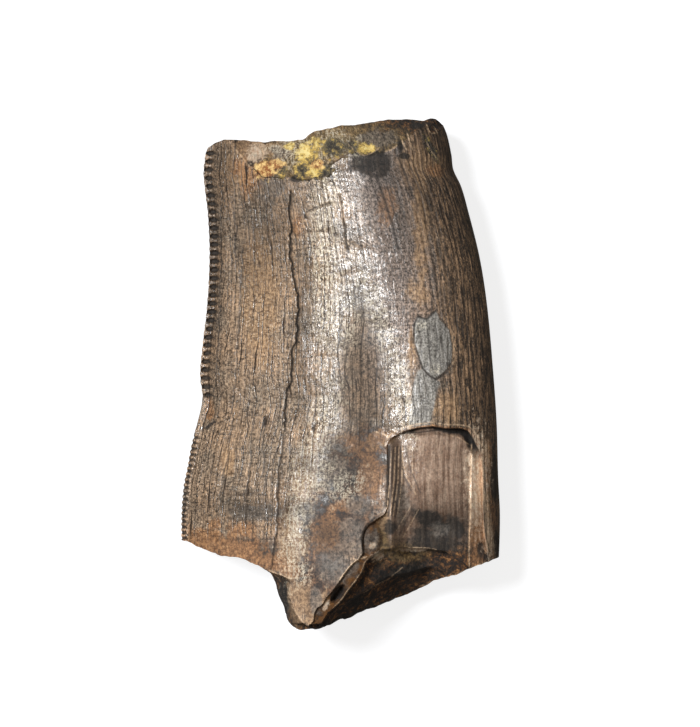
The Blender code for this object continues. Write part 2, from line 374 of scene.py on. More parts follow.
def crown_top(x, y):
    left = crown_edges(y)[0]
    edge = along(y, EDGE_HEIGHT)
    rise = (along(y, RIDGE_HEIGHT) - edge) * bulge(body_share(x, y), TOP_BULGE)
    return edge + np.maximum(rise, keel_half(x, left))


def crown_below(x, y):
    left = crown_edges(y)[0]
    edge = along(y, EDGE_HEIGHT)
    drop = UNDERSIDE_DEPTH * edge * bulge(body_share(x, y), UNDERSIDE_BULGE)
    return np.maximum(edge - np.maximum(drop, keel_half(x, left)), 0.0)


# Distance over the curved top, so that the mesh is as dense on the steep side as on the flat

def arc_table():
    w = (1 - np.cos(np.linspace(0, math.pi, 1500))) / 2
    left, right = crown_edges(np.zeros_like(w))
    x = left + (right - left) * w
    z = crown_top(x, np.zeros_like(w))
    steps = np.hypot(np.diff(x), np.diff(z))
    return w, np.concatenate([[0.0], np.cumsum(steps)])


ARC_W, ARC_LENGTH = arc_table()


def to_sheet(x, y):
    left, right = crown_edges(y)
    return np.interp((x - left) / (right - left), ARC_W, ARC_LENGTH), y


def from_sheet(u, v):
    left, right = crown_edges(v)
    return left + (right - left) * np.interp(u, ARC_LENGTH, ARC_W), v


# Relief of the upper side

HOLLOW_CENTRE_PX = [(235, 351), (300, 364), (330, 372), (360, 379), (390, 384), (430, 384), (480, 360),
                    (560, 345)]
HOLLOW_HALF_PX = [(235, 12), (300, 24), (360, 32), (430, 36), (480, 40), (560, 36)]
HOLLOW_DEPTH = [(235, 0.0), (265, 0.06), (300, 0.22), (350, 0.50), (420, 0.60), (470, 0.50), (520, 0.40),
                (560, 0.25), (600, 0.0)]


def saw_place(run, y):
    """The gap that each station is nearest to, how far above its middle it is, and if the run is there."""
    place = (run["first"] - y) / run["pitch"] + 0.10 * noise(y, y * 0, 1.3, 71)
    number = np.round(place)
    in_run = (y < run["first"] + run["pitch"] / 2) & (y > run["last"] - run["pitch"] / 2)
    return number, (number - place) * run["pitch"], in_run


def saw_gaps(x, y):
    """How far into a gap between saw teeth each point is, 0 to 1, and the gap's depth."""
    left = crown_edges(y)[0]
    share = np.zeros_like(x)
    depth = np.zeros_like(x)
    for run in SAW_RUNS:
        number, above, in_run = saw_place(run, y)
        size = 1 + 0.2 * noise(number, y * 0, 1.0, 5)
        away = np.hypot((x - left - run["middle"]) / (run["reach"] * size), above / run["rise"])
        gap = smooth_step(1.1, 0.5, away) * in_run
        share = np.maximum(share, gap)
        depth = np.maximum(depth, gap * run["depth"])
    return share, depth


def saw_grooves(x, y):
    """The thin furrows that run on from the gaps and curve towards the base."""
    left = crown_edges(y)[0]
    mark = np.zeros_like(x)
    for run in SAW_RUNS:
        start = run["middle"] + 0.6 * run["reach"]
        t = np.clip((x - left - start) / run["groove"], 0.0, 1.0)
        _, above, in_run = saw_place(run, y + 0.26 * t ** 1.4)
        groove = smooth_step(0.075, 0.02, np.abs(above)) * in_run * (t > 0) * smooth_step(1.0, 0.5, t)
        mark = np.maximum(mark, groove)
    return mark


def saw_notch(y):
    """How far the outline steps in at each gap between saw teeth."""
    notch = np.zeros_like(y)
    for run in SAW_RUNS:
        _, above, in_run = saw_place(run, y)
        wave = 0.5 + 0.5 * np.cos(2 * math.pi * above / run["pitch"])
        notch += run["notch"] * wave * in_run
    return notch


def ribs(u, y, pitch, seed):
    """Long ribs with narrow furrows between them: 1 on a rib, 0 in a furrow."""
    phase = u / pitch + 0.45 * noise(u, y, (2.2, 4.0), seed) + 0.25 * noise(u, y, (0.8, 2.0), seed + 1)
    return np.sqrt(np.abs(np.sin(math.pi * phase)))


def window_depth(px, py):
    """Depth of the spalled window below the crown's own top, in millimetres."""
    lip = line_distance(px, py, WINDOW_LIP_PX)
    down = np.clip((py - WINDOW_TOP_PX) / WINDOW_LENGTH_PX, 0.0, 1.0)
    floor = 0.50 + 0.55 * down + 0.9 * down ** 3
    gap = smooth_step(*LIP_GAP_PX, lip) * smooth_step(*LIP_GAP_LEFT_PX, px)
    gap *= smooth_step(*LIP_GAP_FOOT_PX, py)
    wall_width = np.interp(py, *zip(*WALL_WIDTH_PX))
    wall = np.clip((px - WALL_START_PX) / wall_width, 0.0, 1.0)
    depth = floor * smooth_step(0.0, 1.0, wall) + 0.45 * gap
    band = smooth_step(*STEP_PX, px + STEP_LEAN * (py - STEP_ROW_PX))
    depth = depth - 0.16 * band
    cx, cy, rx, ry = SCOOP_PX
    scoop = np.exp(-((px - cx) / rx) ** 2 - ((py - cy) / ry) ** 2)
    return depth + 0.75 * scoop


def upper_height(x, y):
    """Height of the upper side in millimetres, with all its relief."""
    px, py = to_px(x, y)
    u, _ = to_sheet(x, y)
    left, right = crown_edges(y)
    share = (x - left) / (right - left)
    z = crown_top(x, y)
    loose = smooth_step(0.0, 1.2, z - along(y, EDGE_HEIGHT))

    centre = np.interp(py, *zip(*HOLLOW_CENTRE_PX))
    half = np.interp(py, *zip(*HOLLOW_HALF_PX))
    z -= np.interp(py, *zip(*HOLLOW_DEPTH)) * np.exp(-((px - centre) / half) ** 2)

    flank = smooth_step(0.70, 0.84, share)
    z += (0.010 + 0.060 * flank) * (ribs(u, y, RIB_PITCH, RIB_SEED) - 0.8) * loose
    z += 0.030 * rough(u, y, (1.6, 3.6), 21) * loose
    z += 0.040 * rough(u, y, (2.4, 0.9), 25, 3) * loose
    z += 0.010 * rough(u, y, (0.26, 0.3), 31, 2) * loose

    enamel = depth_in(px, py, ENAMEL_PX)
    on_enamel = smooth_step(-0.55, 0.55, enamel)

    plate = depth_in(px, py, PLATE_PX)
    z += 0.075 * smooth_step(-0.6, 1.0, plate) - 0.03 * smooth_step(2.5, 0.0, np.abs(plate + 1.0))
    z += 0.012 * noise(px, py, (3.0, 9.0), 41) * smooth_step(0, 3, plate)

    for line, half_width, depth in jagged_cracks():
        z -= depth * smooth_step(half_width, 0.0, line_distance(px, py, line))

    _, gap_depth = saw_gaps(x, y)
    z -= gap_depth + 0.05 * saw_grooves(x, y)
    z -= 0.12 * smooth_step(1.6, 0.3, line_distance(px, py, NICK_PX))
    z -= 0.12 * smooth_step(0.35, 0.6, in_ellipse(px, py, CHIP_PX))

    z -= (1 - on_enamel) * np.where(py < TIP_ABOVE_PX, tip_drop(px, py), base_drop(px, py, enamel))

    cx, cy = BEAD_CENTRE_PX
    rx, ry = BEAD_RADII_PX
    bead = np.hypot((px - cx) / rx, (py - cy) / ry)
    z += 0.34 * smooth_step(1.0, 0.35, bead) - 0.16 * smooth_step(0.22, 0.0, np.abs(bead - 1.06))
    z -= 0.20 * smooth_step(0.55, 0.1, bead)
    return np.maximum(z, crown_below(x, y) + 0.05 * loose)


def tip_drop(px, py):
    """How far the broken bevel at the tip lies below the crown's own top."""
    from_enamel = line_distance(px, py, ENAMEL_PX + ENAMEL_PX[:1])
    from_rim = line_distance(px, py, TIP_RIM_PX)
    share = from_enamel / (from_enamel + from_rim + 1e-6)
    x, y = to_mm(px, py)
    drop = 0.12 + 1.25 * share ** 1.3
    drop += 0.10 * rough(x, y, 0.9, 51, 4)
    crust = smooth_step(0.35, 0.6, in_ellipse(px, py, TIP_CRUST_PX))
    drop -= crust * (0.22 + 0.16 * rough(x, y, 0.42, 61, 3))
    ledge = smooth_step(0.3, 0.6, in_ellipse(px, py, TIP_LEDGE_PX))
    drop -= ledge * (0.20 + 0.10 * rough(x, y, 0.3, 65, 3))
    flake = depth_in(px, py, TAN_FLAKE_PX)
    drop -= 0.16 * smooth_step(-0.6, 0.6, flake)
    hole = smooth_step(0.4, 0.7, in_ellipse(px, py, TIP_HOLE_PX))
    return np.maximum(drop + 0.25 * hole, 0.0)


def base_drop(px, py, enamel):
    """How far the window and the broken base lie below the crown's own top."""
    x, y = to_mm(px, py)
    from_enamel = -enamel
    from_rim = line_distance(px, py, BASE_RIM_PX)
    share = from_enamel / (from_enamel + from_rim + 1e-6)

    left_of_tongue = smooth_step(*TONGUE_LEFT_PX, px)
    left_drop = 1.6 + 3.0 * share

    (first_line, first_drop), (second_line, second_drop) = BASE_LEDGES
    first = side_of(px, py, first_line)
    second = side_of(px, py, second_line)
    in_window = smooth_step(*WINDOW_LEFT_PX, px) * smooth_step(*WINDOW_FOOT_PX, py)
    window = window_depth(px, py)
    band = 0.35 + 0.035 * from_enamel
    near = band + (window - band) * in_window
    beyond = smooth_step(-0.5, 0.9, first)
    drop = near + beyond * (first_drop + 0.05 * np.maximum(first, 0))
    drop += smooth_step(-0.5, 1.2, second) * (second_drop + 0.06 * np.maximum(second, 0))
    broken = np.maximum(beyond, 0.35 * (1 - in_window))
    drop += broken * (0.20 * rough(x, y, 1.2, 81, 4) + 0.05 * rough(x, y, 0.3, 87, 2))
    drop += 0.9 * smooth_step(-0.5, 2.5, depth_in(px, py, BLACK_HOLE_PX))
    right_side = smooth_step(*RIGHT_RIM_PX, px) * smooth_step(*RIGHT_FOOT_PX, py)
    drop = drop * (1 - 0.6 * right_side)
    return drop + (left_drop - drop) * left_of_tongue


# Sheets

def resample(points, spacing):
    """Points spaced evenly along a line, its own corners kept as nearly as the spacing allows."""
    points = np.asarray(points, dtype=float)
    steps = np.hypot(*np.diff(points, axis=0).T)
    length = np.concatenate([[0.0], np.cumsum(steps)])
    count = max(int(round(length[-1] / spacing)), 1)
    at = np.linspace(0.0, length[-1], count + 1)
    return np.stack([np.interp(at, length, points[:, 0]), np.interp(at, length, points[:, 1])], axis=1)


def ragged(points, amount, size, seed):
    """A line with small breaks in it; its two ends stay where they are."""
    x, y = points[:, 0], points[:, 1]
    ends = np.minimum(np.arange(len(points)), np.arange(len(points))[::-1])
    hold = np.clip(ends / 4.0, 0.0, 1.0)
    shift = amount * rough(x, y, size, seed, 3) * hold
    return np.stack([x + 0.4 * shift, y + shift], axis=1)


def offset_line(points, distance):
    points = np.asarray(points, dtype=float)
    direction = np.gradient(points, axis=0)
    direction /= np.hypot(*direction.T)[:, None] + 1e-12
    normal = np.stack([-direction[:, 1], direction[:, 0]], axis=1)
    return points + normal * distance


def hex_grid(low, high, spacing):
    rows = np.arange(low[1], high[1], spacing * math.sqrt(3) / 2)
    points = []
    for k, v in enumerate(rows):
        u = np.arange(low[0] + (spacing / 2 if k % 2 else 0.0), high[0], spacing)
        points.append(np.stack([u, np.full_like(u, v)], axis=1))
    return np.concatenate(points)


def clear_of(points, lines, gap):
    """The points that lie at least gap away from every point of the lines."""
    fixed = np.concatenate(lines)
    tree = kdtree.KDTree(len(fixed))
    for k, (u, v) in enumerate(fixed):
        tree.insert((u, v, 0.0), k)
    tree.balance()
    keep = [tree.find((u, v, 0.0))[2] >= gap for u, v in points]
    return points[np.array(keep)]


def triangulate(outline, lines, fill):
    """Triangles over a closed outline, with lines that the triangles follow.

    Returns the places, the triangles, and for each place its number in the outline or -1.
    """
    coords = [outline]
    edges = [(k, (k + 1) % len(outline)) for k in range(len(outline))]
    start = len(outline)
    for line in lines:
        coords.append(line)
        edges += [(start + k, start + k + 1) for k in range(len(line) - 1)]
        start += len(line)
    coords.append(fill)
    points = [Vector((u, v)) for u, v in np.concatenate(coords)]
    made = delaunay_2d_cdt(points, edges, [], 1, 1e-5)
    places = np.array([(p.x, p.y) for p in made[0]])
    faces = np.array([f for f in made[2] if len(f) == 3])
    on_outline = np.full(len(places), -1)
    for k, sources in enumerate(made[3]):
        for source in sources:
            if source < len(outline):
                on_outline[k] = source
    return places, faces, on_outline


def outline_sides():
    """The outline of the crown in plan, as four runs in millimetres: saw side, tip, round side, base."""
    tip = from_px(TIP_RIM_PX)
    base = from_px(BASE_RIM_PX)
    tip_left, tip_right = tip[0, 1], tip[-1, 1]
    base_left, base_right = base[0, 1], base[-1, 1]
    count = int((tip_left - base_left) / (SAW_SPACING * 1.05))
    y = np.linspace(base_left, tip_left, count)
    saw = np.stack([crown_edges(y)[0] + saw_notch(y), y], axis=1)
    y = np.linspace(tip_right, base_right, int((tip_right - base_right) / RIM_SPACING))
    round_side = np.stack([crown_edges(y)[1], y], axis=1)
    tip[0], tip[-1] = saw[-1], round_side[0]
    base[0], base[-1] = saw[0], round_side[-1]
    tip = ragged(resample(tip, RIM_SPACING), 0.06, 0.8, 91)
    base = ragged(resample(base, RIM_SPACING), 0.09, 0.6, 95)
    return saw, tip, round_side, base[::-1]


def upper_sheet(outline, scale):
    """The upper side: places in the plane (x, y), triangles, and outline numbers."""
    u, v = to_sheet(outline[:, 0], outline[:, 1])
    rim = np.stack([u, v], axis=1)
    lines = []

    limits = [tuple(p) for p in outline]

    def follow(line_px, half_width):
        """Makes the triangles follow a line and both sides of it."""
        flat = resample(from_px(line_px), SPACING * scale)
        for distance in (-half_width * PIXEL, 0.0, half_width * PIXEL):
            side = offset_line(flat, distance)
            within = inside(side[:, 0], side[:, 1], limits)
            for run in np.split(side, np.flatnonzero(np.diff(within)) + 1):
                if len(run) > 2 and inside(run[:1, 0], run[:1, 1], limits)[0]:
                    lines.append(np.stack(to_sheet(run[:, 0], run[:, 1]), axis=1))

    for outline_px in (ENAMEL_PX, PLATE_PX, TAN_FLAKE_PX):
        follow(outline_px + outline_px[:1], 0.6)
    for line, half_width, _ in jagged_cracks():
        follow(line, half_width + 0.8)
    for line, _ in BASE_LEDGES:
        follow(line, 0.8)
    for line, half_width, _ in DARK_LINES + PALE_AND_LIT_LINES + LIP_LINES:
        follow(line, 1.5 * half_width)

    low = (0.0, rim[:, 1].min())
    high = (ARC_LENGTH[-1], rim[:, 1].max())
    wide = hex_grid(low, high, SPACING * scale)
    wide = wide[wide[:, 0] > SAW_ZONE]
    fine = hex_grid(low, (SAW_ZONE, high[1]), SAW_SPACING * scale)
    fill = np.concatenate([wide, fine])
    fill = fill[inside(fill[:, 0], fill[:, 1], [tuple(p) for p in rim])]
    fill = clear_of(fill, [rim] + lines, 0.5 * SPACING * scale)
    places, faces, on_outline = triangulate(rim, lines, fill)
    x, y = from_sheet(places[:, 0], places[:, 1])
    known = on_outline >= 0
    x[known] = outline[on_outline[known], 0]
    y[known] = outline[on_outline[known], 1]
    return x, y, faces, on_outline, places


def lower_rim(outline, tip_run, base_run):
    """The outline of the underside: the broken faces lean in under the upper side."""
    rim = outline.copy()
    for run, sign, inset in ((tip_run, 1.0, LEAN_IN[0]), (base_run, -1.0, LEAN_IN[1])):
        t = np.linspace(0.0, 1.0, len(run))
        lean = inset * np.sin(math.pi * t) ** 0.6 * (1 + 0.5 * noise(t * 9, t * 0, 1.0, 101))
        rim[run, 1] -= sign * lean
    return rim


def underside_sheet(rim, scale):
    low, high = rim.min(axis=0), rim.max(axis=0)
    outline = [tuple(p) for p in rim]
    coarse = hex_grid(low, high, UNDERSIDE_SPACING * scale)
    coarse = coarse[inside(coarse[:, 0], coarse[:, 1], outline)]
    coarse = clear_of(coarse, [rim], 0.55 * UNDERSIDE_SPACING * scale)
    places, faces, on_outline = triangulate(rim, [], coarse)
    return places[:, 0], places[:, 1], faces, on_outline


def band_sheet(upper, lower, scale):
    """The band between two rims given as matching rows of 3-D points, pinched shut at both ends."""
    steps = np.hypot(*np.diff(upper[:, :2], axis=0).T)
    s = np.concatenate([[0.0], np.cumsum(steps)])
    tall = np.linalg.norm(upper - lower, axis=1)
    bottom = np.stack([s, np.zeros_like(s)], axis=1)
    top = np.stack([s, tall], axis=1)
    rim = np.concatenate([bottom, top[-2:0:-1]])
    grid = hex_grid((0.0, 0.0), (s[-1], tall.max()), BAND_SPACING * scale)
    grid = grid[inside(grid[:, 0], grid[:, 1], [tuple(p) for p in rim])]
    grid = clear_of(grid, [rim], 0.5 * BAND_SPACING * scale)
    places, faces, on_outline = triangulate(rim, [], grid)
    at, height = places[:, 0], places[:, 1]
    share = np.clip(height / np.maximum(np.interp(at, s, tall), 1e-6), 0.0, 1.0)
    points = np.empty((len(places), 3))
    for axis in range(3):
        low = np.interp(at, s, lower[:, axis])
        high = np.interp(at, s, upper[:, axis])
        points[:, axis] = low + (high - low) * share
    count = len(s)
    known = on_outline >= 0
    number = on_outline[known]
    on_bottom = number < count
    exact = np.where(on_bottom[:, None], lower[np.minimum(number, count - 1)],
                     upper[np.clip(2 * count - 2 - number, 0, count - 1)])
    points[known] = exact
    return points, faces, places, share


def broken_relief(points, share, places):
    """Hollows and steps in the broken faces; they only ever lie further in than the plain band."""
    x, z = points[:, 0], points[:, 2]
    free = smooth_step(0.0, 0.12, share) * smooth_step(1.0, 0.88, share)
    tall = smooth_step(0.5, 2.0, places[:, 1] / np.maximum(share, 0.05))
    rings = np.abs(np.sin((x * 0.35 + z * 0.9 + 1.5 * noise(x, z, 3.0, 121)) * 1.6))
    inward = 0.45 + 0.35 * rough(x, z, 2.4, 111, 4) + 0.10 * rings + 0.05 * rough(x, z, 0.35, 115, 2)
    outward = np.where(points[:, 1] > 0.0, 1.0, -1.0)
    points[:, 1] -= outward * np.maximum(inward, 0.0) * free * tall
    return points


def sewn_mesh():
    """Builds the three sheets, with the same points along the rims that they share."""
    scale = 1.0
    saw, tip, round_side, base = outline_sides()
    outline = np.concatenate([saw, tip[1:], round_side[1:], base[1:-1]])
    last_saw = len(saw) - 1
    last_tip = last_saw + len(tip) - 1
    first_base = last_tip + len(round_side) - 1
    total = len(outline)
    tip_run = np.arange(last_saw, last_tip + 1)
    base_run = np.arange(first_base, total + 1) % total

    x, y, faces_a, on_rim_a, sheet_a = upper_sheet(outline, scale)
    upper = np.stack([x, y, upper_height(x, y)], axis=1)
    rim_z = upper_height(outline[:, 0], outline[:, 1])
    upper_rim = np.column_stack([outline, rim_z])
    round_run = np.arange(last_tip, first_base + 1)
    upper_rim[round_run, 2] = along(outline[round_run, 1], EDGE_HEIGHT)
    known = on_rim_a >= 0
    upper[known] = upper_rim[on_rim_a[known]]

    low_plan = lower_rim(outline, tip_run, base_run)
    lower_points = np.column_stack([low_plan, crown_below(low_plan[:, 0], low_plan[:, 1])])
    lower_points[round_run] = upper_rim[round_run]
    x, y, faces_b, on_rim_b = underside_sheet(low_plan, scale)
    under = np.stack([x, y, crown_below(x, y)], axis=1)
    known = on_rim_b >= 0
    under[known] = lower_points[on_rim_b[known]]

    way = np.concatenate([base_run, np.arange(1, last_saw), tip_run])
    band, faces_c, sheet_c, share = band_sheet(upper_rim[way], lower_points[way], scale)
    base_length = np.hypot(*np.diff(outline[base_run], axis=0).T).sum()
    saw_length = np.hypot(*np.diff(saw, axis=0).T).sum()
    band = broken_relief(band, share, sheet_c)
    on_saw = (sheet_c[:, 0] > base_length) & (sheet_c[:, 0] < base_length + saw_length)
    return (upper, faces_a, sheet_a), (under, faces_b), (band, faces_c, sheet_c, share, on_saw)


# Stains and wear of the upper side, with painted highlight and painted shade among them, in pixels: ellipses
# as in_ellipse takes them

SPOTS = {
    # orange stains; the one at (354, 444) is also a painted golden glint
    "orange": [(206, 540, 26, 12), (236, 552, 32, 13), (264, 563, 26, 12), (216, 524, 9, 6),
        (243, 529, 14, 8), (386, 206, 9, 16), (380, 437, 12, 6, -15), (371, 478, 14, 24),
        (354, 444, 12, 9), (329, 535, 15, 18), (345, 505, 16, 7), (209, 411, 5, 9), (488, 520, 9, 36),
        (237, 168, 4, 10), (246, 187, 3, 4), (250, 177, 9, 18), (260, 186, 3, 4), (298, 224, 5, 12),
        (487, 468, 5, 22), (477, 540, 7, 26), (286, 568, 20, 6, 20), (435, 171, 8, 6), (324, 532, 12, 8),
        (470, 572, 20, 3, -22), (440, 581, 16, 3, -20)],
    "ochre": [(246, 172, 12, 14), (240, 150, 4, 5), (412, 350, 5, 20), (446, 408, 13, 16),
        (299, 600, 12, 24), (310, 617, 5, 6), (323, 598, 5, 8, 30), (421, 222, 7, 60),
        (382, 437, 14, 8, -15), (292, 540, 12, 40, 6), (306, 476, 11, 36, 14), (341, 160, 8, 8),
        (262, 300, 18, 60), (423, 163, 22, 14), (228, 460, 6, 16), (418, 293, 10, 12), (386, 522, 6, 10),
        (277, 152, 12, 9), (236, 166, 11, 18), (250, 152, 16, 14)],
    "olive": [(282, 160, 22, 22), (300, 156, 30, 30), (345, 142, 44, 22), (392, 146, 26, 14),
        (380, 532, 14, 24), (405, 552, 20, 9)],
    # painted highlight: bright grains on the highlight's two legs and on the tongue; whitish specks of the
    # stone at the tip and by the plate
    "painted_glint_and_speck": [(314, 455, 17, 70, 16), (297, 520, 12, 56, 8), (346, 486, 22, 12, -30), (326, 250, 13, 90),
        (336, 146, 24, 14), (336, 310, 22, 40), (375, 312, 10, 52, -20), (400, 392, 10, 52, -9),
        (420, 326, 6, 4, -30), (436, 370, 5, 5), (302, 572, 9, 12), (296, 152, 24, 14)],
    # whitish tones: (257, 154) is the tan flake's own tone; the others are mostly painted, as highlight on
    # the bead and the tongue and as brightness of lit faces on the right ridge and the steep strip by the
    # right rim
    "pale_and_lit": [(257, 154, 9, 9), (477, 480, 11, 50), (488, 536, 5, 22, -8), (378, 555, 7, 4, -30),
        (326, 604, 5, 2.5, -60), (373, 545, 3, 4), (414, 549, 12, 2)],
    "crust": [(308, 156, 11, 13), (316, 170, 9, 9), (325, 172, 8, 6, -30), (302, 171, 7, 8),
        (364, 150, 12, 5), (352, 147, 7, 6), (334, 148, 13, 10), (268, 169, 10, 8), (281, 171, 6, 7),
        (290, 147, 5, 4), (431, 149, 3.4, 14, -26), (317, 143, 6, 5)],
    "yellow": [(305, 153, 9, 9), (315, 172, 6, 7), (366, 149, 6, 3), (290, 147, 4, 3), (263, 166, 4, 4),
        (317, 143, 5, 4)],
    "green": [(302, 172, 6, 8), (281, 170, 6, 5), (335, 148, 13, 10), (431, 150, 7, 15), (348, 144, 8, 6),
        (326, 172, 6, 5)],
    "rust": [(266, 170, 11, 9), (317, 165, 7, 5), (275, 165, 10, 5)],
    # slate-grey patches; the one on the window's left wall (402, 502) and the small one low in the window
    # (440, 529) are painted sheen
    "grey": [(336, 565, 20, 18), (333, 474, 15, 17, 30), (353, 536, 15, 20), (316, 598, 6, 13),
        (256, 512, 26, 7), (358, 505, 12, 10), (376, 140, 18, 9), (402, 502, 7, 18), (440, 529, 9, 7),
        (371, 541, 10, 13), (280, 153, 9, 7), (306, 512, 12, 9), (273, 190, 15, 16)],
    "black": [(367, 162, 18, 14), (383, 165, 8, 15), (430, 519, 20, 9, 25), (452, 529, 16, 14),
        (436, 541, 28, 8), (422, 534, 12, 9), (390, 527, 6, 8), (338, 592, 9, 6, -50),
        (356, 600, 8, 5, -50), (382, 576, 8, 5, -40), (251, 163.5, 4, 3), (296, 180, 7, 3),
        (283, 602, 6, 26), (350, 617, 44, 5, -18), (417, 126, 9, 4), (400, 147, 3, 6), (405, 157, 6, 3),
        (413, 551, 4, 3), (480, 549, 4, 9), (487, 556, 4, 4), (494, 480, 4, 24), (496, 545, 3, 16),
        (408, 570, 24, 7, -15)],
    "matte": [(360, 385, 20, 66), (354, 470, 34, 40), (346, 530, 46, 50), (322, 590, 40, 46),
        (376, 190, 12, 30), (250, 560, 60, 24)],
    "mottle": [(338, 500, 44, 66), (320, 580, 36, 44), (300, 520, 22, 44), (235, 556, 60, 22),
        (372, 450, 24, 26)],
    # real dark stains, and painted shade: in the hollow between the highlight's legs, beside its left leg,
    # low in the window and on the window's left wall
    "dirt_and_shade": [(268, 225, 26, 46), (223, 170, 12, 40), (345, 160, 10, 14), (398, 225, 18, 44),
        (361, 392, 24, 78), (381, 196, 16, 50, -14), (470, 160, 40, 60), (250, 508, 44, 10),
        (394, 474, 9, 60), (392, 180, 14, 40), (214, 250, 8, 120), (358, 268, 20, 7), (356, 300, 17, 10),
        (306, 462, 12, 10), (425, 204, 12, 30), (273, 224, 15, 34), (326, 534, 14, 13), (350, 231, 17, 7),
        (357, 290, 18, 12), (371, 166, 24, 16), (305, 325, 8, 70), (336, 449, 13, 12),
        (440, 520, 50, 20)],
}

# Thin lines in pixels with their half width and strength
DARK_LINES = [
    ([(413, 343), (414, 326), (417, 317), (426, 319.5), (435.5, 311)], 1.3, 0.8),
    ([(416, 350), (422, 368), (428, 375), (436, 380), (446, 372)], 1.2, 0.8),
    ([(441, 336), (442, 350)], 1.0, 0.7),
    ([(427, 330), (429, 350), (431, 364)], 0.8, 0.6),
    ([(434, 322), (437, 340), (435, 358)], 0.8, 0.6),
    ([(376, 516), (366, 524), (361, 536), (363, 552)], 1.0, 0.7),
    ([(207, 427.5), (215, 421.5)], 1.6, 0.9),
    ([(389, 446), (387.5, 480), (386, 505)], 1.8, 0.8),
    ([(393, 449), (391.5, 480), (388, 515)], 0.8, 0.7),
    ([(397, 446), (396, 480), (391.5, 514)], 0.8, 0.8),
    ([(400.5, 446), (399.5, 480), (395, 516)], 0.8, 0.7),
    ([(401, 450), (403, 474), (411, 490)], 0.9, 0.6),
    ([(405, 446), (410, 468), (420, 492)], 0.9, 0.6),
    ([(414, 504), (406, 520), (399, 534)], 1.0, 0.5),
    # painted shadow in the gap just under the window's lip
    ([(403, 433), (418, 432), (432, 430.5), (441, 430)], 1.0, 0.9),
    ([(397, 156), (404, 172), (412, 196)], 1.0, 0.8),
    ([(345, 360), (345, 400), (342, 430)], 0.7, 0.5),
    ([(352, 352), (353, 400), (350, 440)], 0.8, 0.6),
    ([(360, 345), (361, 390), (359, 445)], 0.9, 0.7),
    ([(367, 350), (369, 400), (368, 440)], 0.8, 0.6),
    ([(374, 362), (376, 400), (377, 430)], 0.7, 0.6),
    ([(376, 176), (384, 200), (392, 225), (398, 250)], 1.6, 0.75),
    ([(385, 180), (392, 205), (400, 232)], 1.0, 0.7),
    ([(368, 172), (376, 195), (384, 216)], 0.9, 0.6),
    ([(390, 176), (399, 200), (407, 226)], 0.8, 0.6),
    ([(404, 154), (414, 176), (424, 200)], 0.9, 0.8),
    ([(411, 160), (420, 182), (428, 204)], 0.8, 0.7),
    ([(424, 136), (425, 146), (431, 157)], 0.9, 0.8),
    ([(483.5, 500), (485, 530), (489, 553)], 1.0, 0.8),
    ([(467, 500), (466.5, 530), (466, 562)], 0.9, 0.6),
    ([(330, 613), (343, 600), (355, 588), (366, 572)], 0.9, 0.7),
    ([(340, 612), (352, 600), (364, 592)], 1.2, 0.8),
]
# Whitish lines: worn rims and edges of the stone's own tone, and painted brightness on lit edges and on
# faces turned from the key
PALE_AND_LIT_LINES = [
    # painted brightness on the steep strip at the right rim, which faces away from the key
    ([(485, 496), (487.5, 518), (489.5, 546)], 3.2, 0.45),
    ([(486, 446), (487.5, 454), (486.5, 464)], 2.4, 0.40),
    ([(375, 431), (384, 434), (390, 437.5)], 0.9, 0.8),
    ([(384.5, 446), (388, 436.5), (393, 432.2), (403, 427), (415, 424), (432, 422), (444, 424), (460, 424.5),
      (469, 426.5), (475.5, 434), (481, 444), (485, 453)], 0.8, 0.7),
    ([(340, 578), (345.5, 570.5), (352.5, 562.5), (359, 558), (366, 555.5)], 1.0, 0.9),
    ([(334, 606), (341, 599), (348.6, 588), (356, 579), (362, 570), (364.6, 561.5),
      (369, 556.5)], 0.8, 0.75),
    ([(364, 592), (374, 585), (388, 579), (396, 572), (402, 567)], 0.7, 0.5),
    ([(270, 570), (282, 574), (289, 577.5), (288.5, 586), (288.5, 600), (296, 611), (304, 622)], 1.0, 0.6),
    ([(259.5, 146.5), (263, 151), (263.5, 156), (261.5, 161)], 0.9, 0.95),
    ([(237, 151), (244, 160), (250, 167), (256, 170)], 0.8, 0.7),
    ([(402, 142), (404, 146), (406, 150)], 0.8, 0.9),
    ([(407, 134), (409, 141), (412, 150)], 0.7, 0.7),
    ([(426.5, 125), (428, 130), (430.5, 134), (435, 133.5)], 0.7, 0.95),
    ([(433.5, 127), (437, 133)], 0.7, 0.8),
    ([(427, 144), (431, 152), (438, 160)], 0.8, 0.6),
    ([(385, 152.5), (391, 150.5), (396, 147)], 0.8, 0.7),
    ([(348, 145), (355, 152), (364, 156.5), (372, 154), (379, 149)], 0.7, 0.4),
    # painted brightness on the lit face of the low step along the window's right
    ([(471, 445), (470, 480), (470.5, 510), (469, 530), (468.5, 555), (469, 566)], 0.8, 0.8),
    ([(481, 452), (482.5, 470), (482.5, 500)], 0.8, 0.7),
    ([(482.5, 520), (484, 535), (487, 548), (490, 556)], 0.7, 0.7),
    ([(391, 451), (389.5, 480), (387, 508)], 0.6, 0.6),
    ([(395, 447), (393.8, 480), (390, 514)], 0.6, 0.7),
    ([(398.7, 446), (397.8, 480), (393, 515)], 0.6, 0.6),
    ([(402.5, 450), (401.5, 482), (397.5, 512)], 0.6, 0.6),
    ([(402.5, 440), (402, 458), (406, 476), (416, 494)], 0.7, 0.6),
    ([(412, 450), (412, 474)], 0.6, 0.5),
    ([(410, 506), (403, 518), (396, 530)], 0.6, 0.4),
    ([(418, 509), (411, 522), (403, 536)], 0.6, 0.4),
    ([(436, 549), (425, 547), (406, 547), (400, 548), (392, 552)], 0.8, 0.6),
    ([(445, 434), (458, 437), (468, 444)], 0.7, 0.7),
    ([(451, 330), (453.5, 349), (452.5, 363)], 0.9, 0.6),
    ([(420, 586.5), (434, 582), (452, 575.5), (470, 567.5), (485, 561)], 0.8, 0.5),
]
